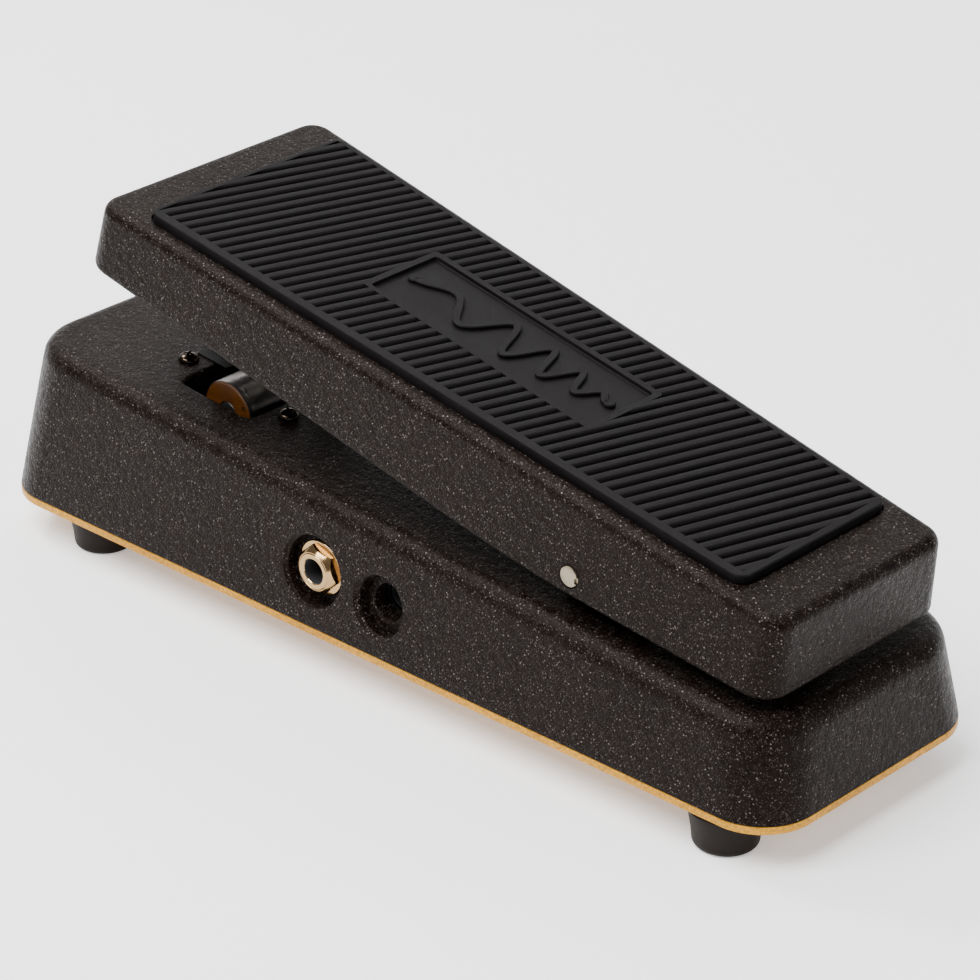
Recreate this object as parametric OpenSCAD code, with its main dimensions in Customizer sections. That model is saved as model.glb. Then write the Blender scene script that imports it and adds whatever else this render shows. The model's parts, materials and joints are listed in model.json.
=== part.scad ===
// Rocker effects pedal: cast base, cast treadle on a cross shaft, rack and pinion
// potentiometer drive, toe footswitch, two sockets. Millimetres, +Z up, toe at -X.

/* [Base] */
// Length of the base casting
base_len = 252; // [240:1:260]
// Width of the base at mid length, at the plate
base_wid = 85.16; // [80:0.1:100]
// Half-width lost per mm towards the heel
taper = 0.0357; // [0:0.0001:0.06]
// Corner radius of the plate outline
plan_r = 14.7; // [8:0.1:20]
// Height of the plate's underside
plate_z = 9.9; // [6:0.1:14]
// Plate thickness
plate_t = 2.1; // [1.5:0.1:3]
// Height of the sloping top at mid length
top_mid = 44.33; // [38:0.1:55]
// Fall of the top per mm towards the heel
top_fall = 0.07496; // [0:0.001:0.1]
// Side draft, mm per mm
draft = 0.1363; // [0:0.01:0.2]
// Radius of the base's upper edge
edge_r = 5; // [2:0.5:8]
// Casting wall
wall = 3.4; // [2:0.1:5]
// Casting top thickness
top_t = 4; // [2:0.1:5]

/* [Treadle] */
// Pitch of the treadle at rest, toe up
pitch = 10.17; // [0:0.01:20]
// Treadle top face: centre, x
tr_x = 13.72; // [0:0.01:30]
// Treadle top face: centre, z
tr_z = 78.42; // [60:0.01:90]
// Treadle length
tr_len = 215.2; // [200:0.1:220]
// Treadle width at mid length
tr_wid = 66.14; // [60:0.1:80]
// Treadle corner radius
tr_r = 5.6; // [3:0.1:10]
// Treadle upper edge radius
tr_er = 2.6; // [1:0.1:4]
// Treadle depth at the toe
tr_dtoe = 17.8; // [14:0.1:24]
// Treadle depth at its deepest
tr_dmid = 24.4; // [18:0.1:28]
// Treadle depth at the heel
tr_dheel = 20.4; // [10:0.1:24]
// Treadle side draft, mm per mm
tr_draft = 0.0928; // [0:0.001:0.2]
// Treadle wall
tr_wall = 4; // [3:0.1:6]
// Treadle top thickness
tr_top = 5.5; // [4:0.1:8]

/* [Mat] */
// Mat end at the toe, along the treadle
mat_toe = -94.4; // [-100:0.1:-80]
// Mat end at the heel
mat_heel = 92.6; // [80:0.1:100]
// Mat half-width at mid treadle
mat_half = 28.5; // [24:0.1:32]
// Depth of the mat's recess
mat_in = 1; // [0:0.1:2]
// Mat height above the casting
mat_up = 2.1; // [1:0.1:3]

/* [Pivot] */
// Pivot x
piv_x = 61.37; // [50:0.01:70]
// Pivot z
piv_z = 50.87; // [45:0.01:60]
// Pivot shaft radius
shaft_r = 3.175; // [2.5:0.005:4]

/* [Drive] */
// Potentiometer axis x
pot_x = -62.5; // [-70:0.1:-50]
// Potentiometer axis z
pot_z = 44.95; // [35:0.05:50]
// Potentiometer radius
pot_r = 8.4; // [8:0.1:13]
// Pinion pitch radius
pin_r = 6; // [4:0.1:8]
// Pinion teeth
pin_n = 16; // [10:1:24]

/* [Sockets] */
// Socket axis x
jack_x = -13.8; // [-30:0.1:30]
// Socket axis z
jack_z = 26.2; // [20:0.1:35]
// Socket bore radius
jack_bore = 3.25; // [3.2:0.01:3.4]
// Power socket axis x
dc_x = 8.1; // [0:0.1:30]
// Power socket axis z
dc_z = 25.05; // [20:0.1:35]

/* [Footswitch] */
// Switch x
sw_x = -84; // [-95:0.5:-75]

/* [Hidden] */
slope = atan(top_fall);
plate_top = plate_z + plate_t;
hl = base_len/2;
mod = 2*pin_r/pin_n;
foot_pts = [[-98,35],[-98,-35],[107,30],[107,-30]];
hang_u = -63.9;
hang_w = -19.03;

function ztop(x) = top_mid - top_fall*x;
function yb(x) = base_wid/2 - taper*x;
function arc(cx,cy,r,a0,n=8) = [for (i=[0:n]) [cx + r*cos(a0+90*i/n), cy + r*sin(a0+90*i/n)]];
// tapered rectangle outline with rounded corners, h0 = half-width at x=0
function outline(x0,x1,h0,r,tp=taper,n=8) = concat(
  arc(x1-r, h0-tp*(x1-r)-r, r, 0, n), arc(x0+r, h0-tp*(x0+r)-r, r, 90, n),
  arc(x0+r, -(h0-tp*(x0+r)-r), r, 180, n), arc(x1-r, -(h0-tp*(x1-r)-r), r, 270, n));

module on_top(x,y) { translate([x,y,ztop(x)]) rotate([0,slope,0]) children(); }
module on_treadle() { translate([tr_x,0,tr_z]) rotate([0,pitch,0]) children(); }
module ycyl(r,y0,y1,fn=48) { translate([0,y0,0]) rotate([-90,0,0]) cylinder(r=r,h=y1-y0,$fn=fn); }

// disc with a rounded rim, its top at z=0
module rdisc(rc,re) {
  rotate_extrude($fn=32) union() {
    translate([0,-2*re]) square([rc,2*re]);
    intersection() { translate([rc,-re]) circle(r=re,$fn=32); translate([rc-0.01,-2*re]) square([re+0.02,2*re]); }
  }
}

module base_outer() {
  it = (ztop(-hl)-plate_top)*draft; ih = (ztop(hl)-plate_top)*draft; rc = 11.4; rt = rc+edge_r;
  hull() {
    for (s=[-1,1]) {
      translate([-(hl-plan_r), s*(yb(-(hl-plan_r))-plan_r), plate_top]) cylinder(r=plan_r,h=0.4,$fn=48);
      translate([hl-plan_r, s*(yb(hl-plan_r)-plan_r), plate_top]) cylinder(r=plan_r,h=0.4,$fn=48);
      on_top(-(hl-it-rt), s*(yb(-(hl-it-rt))-it-rt)) rdisc(rc,edge_r);
      on_top(hl-ih-rt, s*(yb(hl-ih-rt)-ih-rt)) rdisc(rc,edge_r);
    }
  }
}
module base_inner() {
  it = (ztop(-hl)-plate_top)*draft; ih = (ztop(hl)-plate_top)*draft; r = plan_r-wall;
  hull() {
    for (s=[-1,1]) {
      translate([-(hl-plan_r), s*(yb(-(hl-plan_r))-plan_r), plate_top-1]) cylinder(r=r,h=0.4,$fn=32);
      translate([hl-plan_r, s*(yb(hl-plan_r)-plan_r), plate_top-1]) cylinder(r=r,h=0.4,$fn=32);
      on_top(-(hl-it-plan_r), s*(yb(-(hl-it-plan_r))-it-plan_r)) translate([0,0,-top_t-0.4]) cylinder(r=r,h=0.4,$fn=32);
      on_top(hl-ih-plan_r, s*(yb(hl-ih-plan_r)-ih-plan_r)) translate([0,0,-top_t-0.4]) cylinder(r=r,h=0.4,$fn=32);
    }
  }
}

module base_shell() {
  color([0.10,0.10,0.10]) difference() {
    union() {
      difference() { base_outer(); base_inner(); }
      // pivot lugs
      for (s=[-1,1]) {
        translate([piv_x,0,piv_z]) ycyl(7.2, s>0?15:-23, s>0?23:-15);
        translate([piv_x-7.2, s>0?15:-23, ztop(piv_x)-3]) cube([14.4,8,piv_z-ztop(piv_x)+3]);
      }
      // thick pads behind the socket recesses
      for (s=[-1,1]) {
        translate([-24.3, s<0?-39.6:33, 16]) cube([s<0?43:23,6.6,11]);
        translate([-24.3, s<0?-38.2:33, 26.9]) cube([s<0?43:23,5.2,11]);
      }
      // posts for the foot screws
      for (p=foot_pts) {
        translate([p[0],p[1],plate_top]) cylinder(r=5,h=16,$fn=32);
        translate([p[0]-1.5, p[1]>0?p[1]:p[1]-(p[0]<0?6.3:4.3), plate_top]) cube([3,p[0]<0?6.3:4.3,16]);
      }
    }
    // bush holes
    translate([piv_x,0,piv_z]) ycyl(5,-24,24);
    // socket recesses and holes
    translate([jack_x,0,jack_z]) ycyl(9.3,-60,-37.9);
    translate([jack_x,0,jack_z]) ycyl(4.8,-38.5,-30);
    translate([jack_x,0,jack_z]) ycyl(9.3,37.9,60);
    translate([jack_x,0,jack_z]) ycyl(4.8,30,38.5);
    translate([dc_x,0,dc_z]) ycyl(7.4,-60,-37.8);
    translate([dc_x,0,dc_z]) ycyl(4.6,-39,-30);
    // slot over the potentiometer and the rack
    translate([-76.5,-25.9,40]) cube([24.6,18.6,20]);
    translate([-71,-10,40]) cube([23.5,22,20]);
    // footswitch hole
    on_top(sw_x,0) translate([0,0,-8]) cylinder(r=6.15,h=16,$fn=48);
    // bracket screw holes
    on_top(-82.4,-17.6) translate([0,0,-8]) cylinder(r=1.65,h=16,$fn=24);
    on_top(-45.2,-18.5) translate([0,0,-8]) cylinder(r=1.65,h=16,$fn=24);
    // pilot holes of the foot screws
    for (p=foot_pts) translate([p[0],p[1],plate_top-1]) cylinder(r=2.05,h=13,$fn=24);
  }
}

module bottom_plate() {
  color([0.72,0.55,0.25]) difference() {
    translate([0,0,plate_z]) linear_extrude(height=plate_t) polygon(outline(-hl,hl,base_wid/2,plan_r,taper,12));
    for (p=foot_pts) translate([p[0],p[1],plate_z-1]) cylinder(r=2.3,h=5,$fn=24);
    for (x=[8,48]) for (y=[-18,18]) translate([x,y,plate_z-1]) cylinder(r=1.65,h=5,$fn=24);
  }
}

module rubber_feet() {
  color([0.07,0.07,0.07]) for (p=foot_pts) translate([p[0],p[1],0]) difference() {
    rotate_extrude($fn=48) polygon([[0,0],[5.9,0],[6.7,0.3],[7.3,1],[7.6,2],[8.4,plate_z],[0,plate_z]]);
    translate([0,0,-1]) cylinder(r=4.6,h=5,$fn=32);
    translate([0,0,-1]) cylinder(r=2.3,h=20,$fn=24);
  }
}

module foot_screws() {
  color([0.55,0.55,0.57]) for (p=foot_pts) translate([p[0],p[1],0]) {
    difference() {
      union() { translate([0,0,1.6]) cylinder(r=3.9,h=2.4,$fn=32); translate([0,0,4]) cylinder(r=1.95,h=18,$fn=24); }
      translate([-3,-0.4,1]) cube([6,0.8,1.6]);
      translate([-0.4,-3,1]) cube([0.8,6,1.6]);
    }
  }
}

module treadle_outer() {
  ta = tr_len/2; rc = tr_r-tr_er; h0 = tr_wid/2;
  hull() {
    for (s=[-1,1]) {
      translate([-(ta-tr_r), s*(h0+taper*(ta-tr_r)-tr_r), 0]) rdisc(rc,tr_er);
      translate([ta-tr_r, s*(h0-taper*(ta-tr_r)-tr_r), 0]) rdisc(rc,tr_er);
      translate([-(ta+tr_dtoe*tr_draft-tr_r), s*(h0+taper*(ta-tr_r)+tr_dtoe*tr_draft-tr_r), -tr_dtoe]) cylinder(r=tr_r,h=0.3,$fn=32);
      translate([ta+tr_dheel*tr_draft-tr_r, s*(h0-taper*(ta-tr_r)+tr_dheel*tr_draft-tr_r), -tr_dheel]) cylinder(r=tr_r,h=0.3,$fn=32);
      for (q=[[22,-23.5],[37,-24.2],[52,-23.5]]) translate([q[0], s*(h0-taper*q[0]-q[1]*tr_draft-0.5), q[1]]) cylinder(r=0.5,h=0.3,$fn=12);
    }
  }
}
module treadle_inner() {
  ta = tr_len/2; h0 = tr_wid/2; r = 3; g = tr_wall; d = 30;
  hull() {
    for (s=[-1,1]) {
      translate([-(ta-g-r), s*(h0-g+taper*(ta-g-r)-r), -tr_top-0.3]) cylinder(r=r,h=0.3,$fn=24);
      translate([ta-g-r, s*(h0-g-taper*(ta-g-r)-r), -tr_top-0.3]) cylinder(r=r,h=0.3,$fn=24);
      translate([-(ta-g-r+d*tr_draft), s*(h0-g+taper*(ta-g-r)-r+d*tr_draft), -d]) cylinder(r=r,h=0.3,$fn=24);
      translate([ta-g-r+d*tr_draft, s*(h0-g-taper*(ta-g-r)-r+d*tr_draft), -d]) cylinder(r=r,h=0.3,$fn=24);
    }
  }
}
module treadle() {
  color([0.10,0.10,0.10]) difference() {
    union() {
      on_treadle() difference() { treadle_outer(); treadle_inner(); }
      // shaft bosses inside the side walls
      for (s=[-1,1]) translate([piv_x,0,piv_z]) ycyl(6.4, s>0?24.5:-30.5, s>0?30.5:-24.5);
      // cross rib that lands on the heel bumper
      on_treadle() translate([90,-26,-19.5]) cube([6,52,15]);
      // stiffening rib
      on_treadle() translate([-20,-29,-12]) cube([3,58,7.5]);
      // boss for the toe pad
      on_treadle() translate([-93.8,0,-10]) cylinder(r=6.5,h=5,$fn=32);
      // pads for the hanger screws
      on_treadle() for (q=[-76,-52.6]) translate([q,4,-8.5]) cylinder(r=3.6,h=4,$fn=32);
    }
    // recess of the mat
    on_treadle() translate([0,0,-mat_in]) linear_extrude(height=6) polygon(outline(mat_toe-0.5,mat_heel+0.5,mat_half+0.5,4,taper,6));
    // shaft hole
    translate([piv_x,0,piv_z]) ycyl(3.15,-50,50);
    // set screw hole, from below into the near boss
    translate([piv_x,-27.5,piv_z-12]) cylinder(r=1.5,h=12,$fn=24);
    // hanger screw holes
    on_treadle() for (q=[-76,-52.6]) translate([q,4,-9]) cylinder(r=1.3,h=6.5,$fn=24);
  }
}

module rubber_mat() {
  color([0.16,0.15,0.16]) on_treadle() difference() {
    translate([0,0,-mat_in]) linear_extrude(height=mat_in+mat_up) polygon(outline(mat_toe,mat_heel,mat_half,3.5,taper,6));
    translate([-39.5,-11,mat_up-0.9]) cube([71,22,5]);
  }
}

module pivot_shaft() {
  color([0.75,0.75,0.76]) translate([piv_x,0,piv_z]) rotate([-90,0,0]) translate([0,0,-33.6])
    rotate_extrude($fn=48) polygon([[0,0],[shaft_r-0.5,0],[shaft_r,0.5],[shaft_r,66.7],[shaft_r-0.5,67.2],[0,67.2]]);
}
module shaft_set_screw() {
  color([0.25,0.25,0.26]) translate([piv_x,-27.5,piv_z-6.9]) difference() {
    cylinder(r=1.45,h=3.6,$fn=24);
    translate([0,0,-0.5]) cylinder(r=0.85,h=2,$fn=6);
  }
}
module pivot_bushes() {
  color([0.90,0.89,0.84]) for (s=[-1,1]) translate([piv_x,0,piv_z]) difference() {
    union() { ycyl(5, s>0?14.2:-23.8, s>0?23.8:-14.2); ycyl(6.4, s>0?23.0:-24.1, s>0?24.1:-23.0); }
    ycyl(3.23,-30,30);
  }
}
module heel_bumper() {
  color([0.10,0.10,0.10]) on_top(102.6,0) cylinder(r=5,h=5.6,$fn=32);
}
module toe_pad() {
  color([0.12,0.12,0.12]) on_treadle() translate([-93.8,0,-13]) cylinder(r=5.5,h=3,$fn=32);
}

module pot_bracket() {
  color([0.62,0.62,0.63]) union() {
  // collar plate round the bushing
  translate([pot_x,0,pot_z]) difference() { ycyl(7.2,-9.1,-7.6); ycyl(4.8,-15,0); }
  difference() {
    union() {
      on_top(-82.4,-17.6) translate([-4.5,-5,-top_t-1.5]) cube([9,15,1.5]);
      on_top(-45.2,-18.5) translate([-4.4,-5,-top_t-1.5]) cube([9,15.9,1.5]);
      // upright plate
      translate([-88,-9.1,29.5]) cube([45,1.5,ztop(-43)-top_t-29.9]);
      // joins from the upright to the feet
      translate([-88.2,-9.1,40]) cube([8.8,1.5,ztop(-79)-top_t-40.15]);
      // guide behind the rack
      translate([-50.2,-9.1,34]) cube([1.6,17.5,9]);
    }
    translate([pot_x,0,pot_z]) ycyl(4.8,-15,0);
    on_top(-82.4,-17.6) translate([0,0,-8]) cylinder(r=1.65,h=6,$fn=24);
    on_top(-45.2,-18.5) translate([0,0,-8]) cylinder(r=1.65,h=6,$fn=24);
    // upper edge follows the slope
    on_top(-65,0) translate([-40,-30,-top_t-0.02]) cube([80,60,10]);
    // clear of the footswitch
    translate([-93.2,-9.3,20]) cube([2.2,3,26]);
  }
  }
  // ear that comes up through the slot and rests on the casting
  color([0.06,0.06,0.06]) translate([-76.3,-9.1,42]) cube([4,1.5,ztop(-72.3)-42+0.3]);
  color([0.06,0.06,0.06]) on_top(-78.6,-11) translate([-5,-2.6,0.02]) cube([10.2,5.2,1.1]);
}
module screw_pan(len,rh,hh,rs) {
  difference() {
    union() { cylinder(r=rh,h=hh,$fn=32); translate([0,0,-len]) cylinder(r=rs,h=len,$fn=24); }
    translate([-rh*0.6,-0.35,hh-0.9]) cube([rh*1.2,0.7,2]);
    translate([-0.35,-rh*0.6,hh-0.9]) cube([0.7,rh*1.2,2]);
  }
}
module bracket_screws() {
  color([0.12,0.12,0.13]) {
    on_top(-82.4,-17.6) { screw_pan(9,2.7,2,1.5); translate([0,0,-top_t-4]) difference() { cylinder(r=3.2,h=2.4,$fn=6); translate([0,0,-1]) cylinder(r=1.49,h=5,$fn=24);} }
    on_top(-45.2,-18.5) { screw_pan(9,2.7,2,1.5); translate([0,0,-top_t-4]) difference() { cylinder(r=3.2,h=2.4,$fn=6); translate([0,0,-1]) cylinder(r=1.49,h=5,$fn=24);} }
  }
}
module pot_can() {
  color([0.32,0.32,0.33]) translate([pot_x,0,pot_z]) difference() { ycyl(pot_r,-21.6,-12.5); ycyl(4,-13.9,-12); }
}
module pot_wafers() {
  color([0.50,0.28,0.08]) translate([pot_x,0,pot_z]) {
    ycyl(pot_r-0.2,-23.2,-21.6);
    difference() { ycyl(pot_r-0.2,-12.5,-10.6); ycyl(4,-13,-10); }
    difference() { translate([-5,-11.9,-pot_r-7]) cube([10,0.7,9]); ycyl(pot_r-0.2,-13,-10); translate([-3,-13,-pot_r-8]) cube([2,3,7]); translate([1,-13,-pot_r-8]) cube([2,3,7]); }
  }
}
module pot_bushing() {
  color([0.75,0.62,0.30]) translate([pot_x,0,pot_z]) difference() {
    union() { ycyl(4.7,-10.6,-3.2); ycyl(7.5,-10.6,-9.1); }
    ycyl(3.05,-14,0);
  }
}
module pot_nut() {
  color([0.70,0.70,0.71]) translate([pot_x,0,pot_z]) difference() {
    translate([0,-7.6,0]) rotate([-90,0,0]) cylinder(r=6.6,h=2.2,$fn=6);
    ycyl(4.71,-10,0);
  }
}
module pot_shaft() {
  color([0.72,0.72,0.73]) translate([pot_x,0,pot_z]) ycyl(3,-12,9);
}
module gear2d() {
  ro = pin_r+mod; ri = pin_r-1.25*mod;
  polygon([for (i=[0:pin_n-1]) for (k=[[-0.25,ri],[-0.165,pin_r-0.2*mod],[-0.075,ro],[0.075,ro],[0.165,pin_r-0.2*mod],[0.25,ri],[0.5,ri]])
    let(a=(i+k[0])*360/pin_n) [k[1]*cos(a),k[1]*sin(a)]]);
}
module pinion() {
  color([0.92,0.91,0.86]) translate([pot_x,0.4,pot_z]) difference() {
    rotate([-90,0,0]) linear_extrude(height=7.2) rotate([0,0,180/pin_n*0]) gear2d();
    ycyl(3,-1,9);
  }
}
module rack() {
  p = PI*mod; xp = pot_x+pin_r;
  color([0.93,0.92,0.88]) difference() {
    union() {
      translate([0,7,0]) rotate([90,0,0]) linear_extrude(height=6) polygon(concat(
        [[-50.5,66.9],[-50.5,36]],
        [for (i=[-2:8]) for (k=[[-0.5,1.25],[-0.28,1.25],[-0.10,-0.85],[0.10,-0.85],[0.28,1.25]]) [xp+k[1]*mod, pot_z+(i+0.5+k[0])*p]],
        [[xp+1.25*mod,66.9]]));
      translate([-57.2,1,66.8]) cube([8.2,6,8.4]);
    }
    translate([-53.4,0,71]) { translate([-0.9,0,0]) ycyl(1.5,-1,9,32); translate([0.9,0,0]) ycyl(1.5,-1,9,32); translate([-0.9,-1,-1.5]) cube([1.8,10,3]); }
  }
}
module rack_hanger() {
  color([0.66,0.66,0.67]) on_treadle() difference() {
    union() {
      translate([-79.5,-0.8,-10]) cube([30.5,9.6,1.5]);
      translate([-67,-0.8,-22.3]) cube([6.2,1.5,13.7]);
      translate([-67,7.3,-22.3]) cube([6.2,1.5,13.7]);
    }
    for (q=[-76,-52.6]) translate([q,4,-12]) cylinder(r=1.65,h=6,$fn=24);
    translate([hang_u,0,hang_w]) ycyl(1.2,-5,12,32);
  }
}
module hanger_pin() {
  color([0.75,0.75,0.76]) on_treadle() translate([hang_u,0,hang_w]) { ycyl(1.2,-1.6,9.4,32); ycyl(2,-1.9,-0.8,32); ycyl(2,8.8,9.6,32); }
}
module hanger_screws() {
  color([0.55,0.55,0.57]) on_treadle() for (q=[-76,-52.6]) translate([q,4,-10]) difference() {
    union() { translate([0,0,-1.7]) cylinder(r=2.6,h=1.7,$fn=32); translate([0,0,-0.5]) cylinder(r=1.25,h=6.9,$fn=24); }
    translate([-1.6,-0.35,-2.7]) cube([3.2,0.7,2]);
    translate([-0.35,-1.6,-2.7]) cube([0.7,3.2,2]);
  }
}

module footswitch() {
  color([0.10,0.22,0.45]) on_top(sw_x,0) difference() {
    union() {
      translate([-8,-7.2,-22.6]) cube([16,14.4,17.8]);
      translate([0,0,-4.8]) cylinder(r=6,h=10.2,$fn=48);
      for (a=[-5,0,5]) for (b=[-5,0,5]) translate([a-1,b-0.4,-26.6]) cube([2,0.8,4.2]);
    }
    translate([0,0,-8]) cylinder(r=4,h=20,$fn=48);
  }
}
module footswitch_nut() {
  color([0.75,0.75,0.76]) on_top(sw_x,0) {
    difference() { cylinder(r=8,h=2.3,$fn=6); translate([0,0,-1]) cylinder(r=6.05,h=6,$fn=48); }
    difference() { translate([0,0,-4.75]) cylinder(r=7.2,h=0.7,$fn=48); translate([0,0,-6]) cylinder(r=6.05,h=6,$fn=48); }
  }
}
module footswitch_button() {
  color([0.80,0.80,0.81]) on_top(sw_x,0) translate([0,0,-5]) rotate_extrude($fn=48) polygon([[0,0],[3.93,0],[3.93,13.7],[3.2,14.4],[0,14.4]]);
}

module socket(s) {
  mirror([0,s>0?1:0,0]) translate([jack_x,0,jack_z]) difference() {
    union() {
      translate([-10.5,-33,-9.5]) cube([21,24.5,19]);
      ycyl(4.7,-41.4,-32.9);
      for (a=[-6,0,6]) translate([a-1,-8.6,-9]) cube([2,1.2,4]);
    }
    ycyl(jack_bore,-50,-12);
  }
}
module socket_nut(s) {
  mirror([0,s>0?1:0,0]) translate([jack_x,0,jack_z]) {
    difference() { ycyl(7.2,-38.7,-37.9); ycyl(4.72,-45,-30); }
    difference() { translate([0,-41.1,0]) rotate([-90,0,0]) cylinder(r=6.5,h=2.4,$fn=6); ycyl(4.72,-45,-30); }
  }
}
module output_jack() { color([0.70,0.70,0.71]) socket(-1); }
module output_jack_nut() { color([0.80,0.80,0.80]) socket_nut(-1); }
module input_jack() { color([0.70,0.70,0.71]) socket(1); }
module input_jack_nut() { color([0.80,0.80,0.80]) socket_nut(1); }
module dc_jack() {
  color([0.05,0.05,0.05]) translate([dc_x,0,dc_z]) {
    difference() { translate([-7,-33,-5.2]) cube([14,12,10.4]); ycyl(3.1,-40,-23.5); }
    ycyl(1.0,-33,-23.4,24);
  }
}

module circuit_board() {
  color([0.05,0.28,0.12]) difference() {
    translate([4,-22,18]) cube([48,44,1.6]);
    for (x=[8,48]) for (y=[-18,18]) translate([x,y,17]) cylinder(r=1.65,h=4,$fn=24);
  }
}
module components() {
  // inductor can
  color([0.65,0.45,0.15]) translate([14,8,19.6]) cylinder(r=5.5,h=11,$fn=32);
  // capacitors
  color([0.70,0.15,0.10]) { translate([22,-14,19.6]) cube([9,3.5,8]); translate([34,-14,19.6]) cube([7,3,7]); }
  color([0.10,0.12,0.30]) { translate([30,6,19.6]) cylinder(r=3,h=9,$fn=24); translate([40,8,19.6]) cylinder(r=2.5,h=8,$fn=24); }
  // transistors
  color([0.06,0.06,0.06]) { translate([24,-4,20.6]) cube([4.6,3.6,4.6]); translate([36,-4,20.6]) cube([4.6,3.6,4.6]); }
  // resistors
  color([0.75,0.65,0.45]) for (y=[13,16]) translate([20,y,20.8]) rotate([0,90,0]) cylinder(r=1.15,h=6.5,$fn=20);
}
module standoffs() {
  color([0.85,0.85,0.82]) for (x=[8,48]) for (y=[-18,18]) translate([x,y,plate_top]) difference() { cylinder(r=3.4,h=6,$fn=6); translate([0,0,-1]) cylinder(r=1.4,h=9,$fn=20); }
}
module board_screws() {
  color([0.6,0.6,0.62]) for (x=[8,48]) for (y=[-18,18]) { translate([x,y,19.6]) screw_pan(4,2.7,1.8,1.35); translate([x,y,plate_z]) mirror([0,0,1]) screw_pan(4.5,2.7,1.4,1.35); }
}
module battery() {
  color([0.12,0.12,0.13]) { translate([57.5,-13.2,13]) cube([46,26.4,17.3]); translate([55.6,-6.5,21.6]) rotate([0,90,0]) cylinder(r=2.9,h=2,$fn=24); translate([55.6,6.5,21.6]) rotate([0,90,0]) cylinder(r=3.6,h=2,$fn=24); }
}
module battery_pad() { color([0.25,0.25,0.26]) translate([58,-12.5,plate_top]) cube([45,25,1]); }
module battery_snap() { color([0.05,0.05,0.05]) translate([53.4,-12,16]) cube([2.2,24,11]); }
module wire(pts,r=0.65) {
  for (i=[0:len(pts)-2]) {
    d = pts[i+1]-pts[i]; l = norm(d);
    translate(pts[i]) rotate([0,acos(d[2]/l),atan2(d[1],d[0])]) cylinder(r=r,h=l,$fn=24);
    if (i>0) translate(pts[i]) sphere(r=r*1.2,$fn=24);
  }
}
module battery_leads() {
  color([0.65,0.05,0.05]) wire([[53.1,-9,22],[45,-9,20.4]]);
  color([0.05,0.05,0.05]) wire([[53.1,9,22],[46.5,9,20.4]]);
}
module signal_wires() {
  color([0.80,0.75,0.15]) wire([[-2.8,-10,23.5],[7,-10,21]]);
  color([0.15,0.45,0.20]) wire([[-2.8,10,23.5],[7,8,21]]);
  color([0.85,0.85,0.85]) wire([[-62.5,-11.2,28.7],[3,4,20.8]]);
  color([0.15,0.25,0.60]) wire([[-83,-5,21.9],[-24.8,-9,21]]);
}

base_shell();
bottom_plate();
rubber_feet();
foot_screws();
treadle();
rubber_mat();
pivot_shaft();
shaft_set_screw();
pivot_bushes();
heel_bumper();
toe_pad();
pot_bracket();
bracket_screws();
pot_can();
pot_wafers();
pot_bushing();
pot_nut();
pot_shaft();
pinion();
rack();
rack_hanger();
hanger_pin();
hanger_screws();
footswitch();
footswitch_nut();
footswitch_button();
output_jack();
output_jack_nut();
input_jack();
input_jack_nut();
dc_jack();
circuit_board();
components();
standoffs();
board_screws();
battery();
battery_pad();
battery_snap();
battery_leads();
signal_wires();
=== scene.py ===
import bpy, bmesh, math, json
import numpy as np
from mathutils import Vector, Matrix


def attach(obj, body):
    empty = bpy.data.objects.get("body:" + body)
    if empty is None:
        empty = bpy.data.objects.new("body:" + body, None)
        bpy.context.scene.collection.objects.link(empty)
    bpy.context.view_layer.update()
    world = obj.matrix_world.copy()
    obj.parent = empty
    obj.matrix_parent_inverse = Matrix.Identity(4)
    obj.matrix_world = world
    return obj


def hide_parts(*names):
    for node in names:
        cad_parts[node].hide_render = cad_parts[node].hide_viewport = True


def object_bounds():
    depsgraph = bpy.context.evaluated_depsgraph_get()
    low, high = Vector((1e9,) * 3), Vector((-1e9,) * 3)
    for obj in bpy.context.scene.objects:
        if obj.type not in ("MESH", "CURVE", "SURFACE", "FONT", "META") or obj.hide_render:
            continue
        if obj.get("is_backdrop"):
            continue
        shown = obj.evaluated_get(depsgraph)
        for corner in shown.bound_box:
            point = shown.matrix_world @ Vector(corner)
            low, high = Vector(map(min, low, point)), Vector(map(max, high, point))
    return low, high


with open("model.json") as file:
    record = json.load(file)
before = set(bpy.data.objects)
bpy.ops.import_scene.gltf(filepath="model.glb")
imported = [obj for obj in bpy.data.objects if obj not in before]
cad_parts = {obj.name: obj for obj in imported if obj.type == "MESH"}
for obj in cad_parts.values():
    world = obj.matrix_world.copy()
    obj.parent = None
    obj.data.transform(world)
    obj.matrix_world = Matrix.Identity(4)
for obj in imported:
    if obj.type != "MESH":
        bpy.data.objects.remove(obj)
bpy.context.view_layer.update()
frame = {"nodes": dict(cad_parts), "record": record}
MM = 0.001
SLOTOF = {p["node"]: p.get("material_slot") for p in frame["record"]["subparts"]}

# ------------------------------------------------------------------ numbers (mm, row frame)
HL = 126.0; H0 = 42.58; TAP = 0.0357; PR = 14.7; PZ = 9.9; PT = 12.0
TMID = 44.33; FALL = 0.07496; DR = 0.1363; ER = 5.4
SLOPE = math.atan(FALL)
PITCH = math.radians(10.17); TX, TZ = 13.72, 78.42
TL, TH, TRR, TD = 107.6, 33.07, 5.6, 0.0928
MT, MH, MHALF = -94.4, 92.6, 28.5
PVX, PVZ = 61.37, 50.87
JX, JZ, DX, DZ = -13.8, 26.2, 8.1, 25.05
PX, PZZ, PRAD = -62.5, 44.95, 8.4
SWX = -84.0
FEET = [(-98, 35), (-98, -35), (107, 30), (107, -30)]


def ztop(x):
    return TMID - FALL * x


def on_top(x, y):
    return Matrix.Translation((x, y, ztop(x))) @ Matrix.Rotation(SLOPE, 4, "Y")


ONT = Matrix.Translation((TX, 0, TZ)) @ Matrix.Rotation(PITCH, 4, "Y")

# ------------------------------------------------------------------ materials


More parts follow.
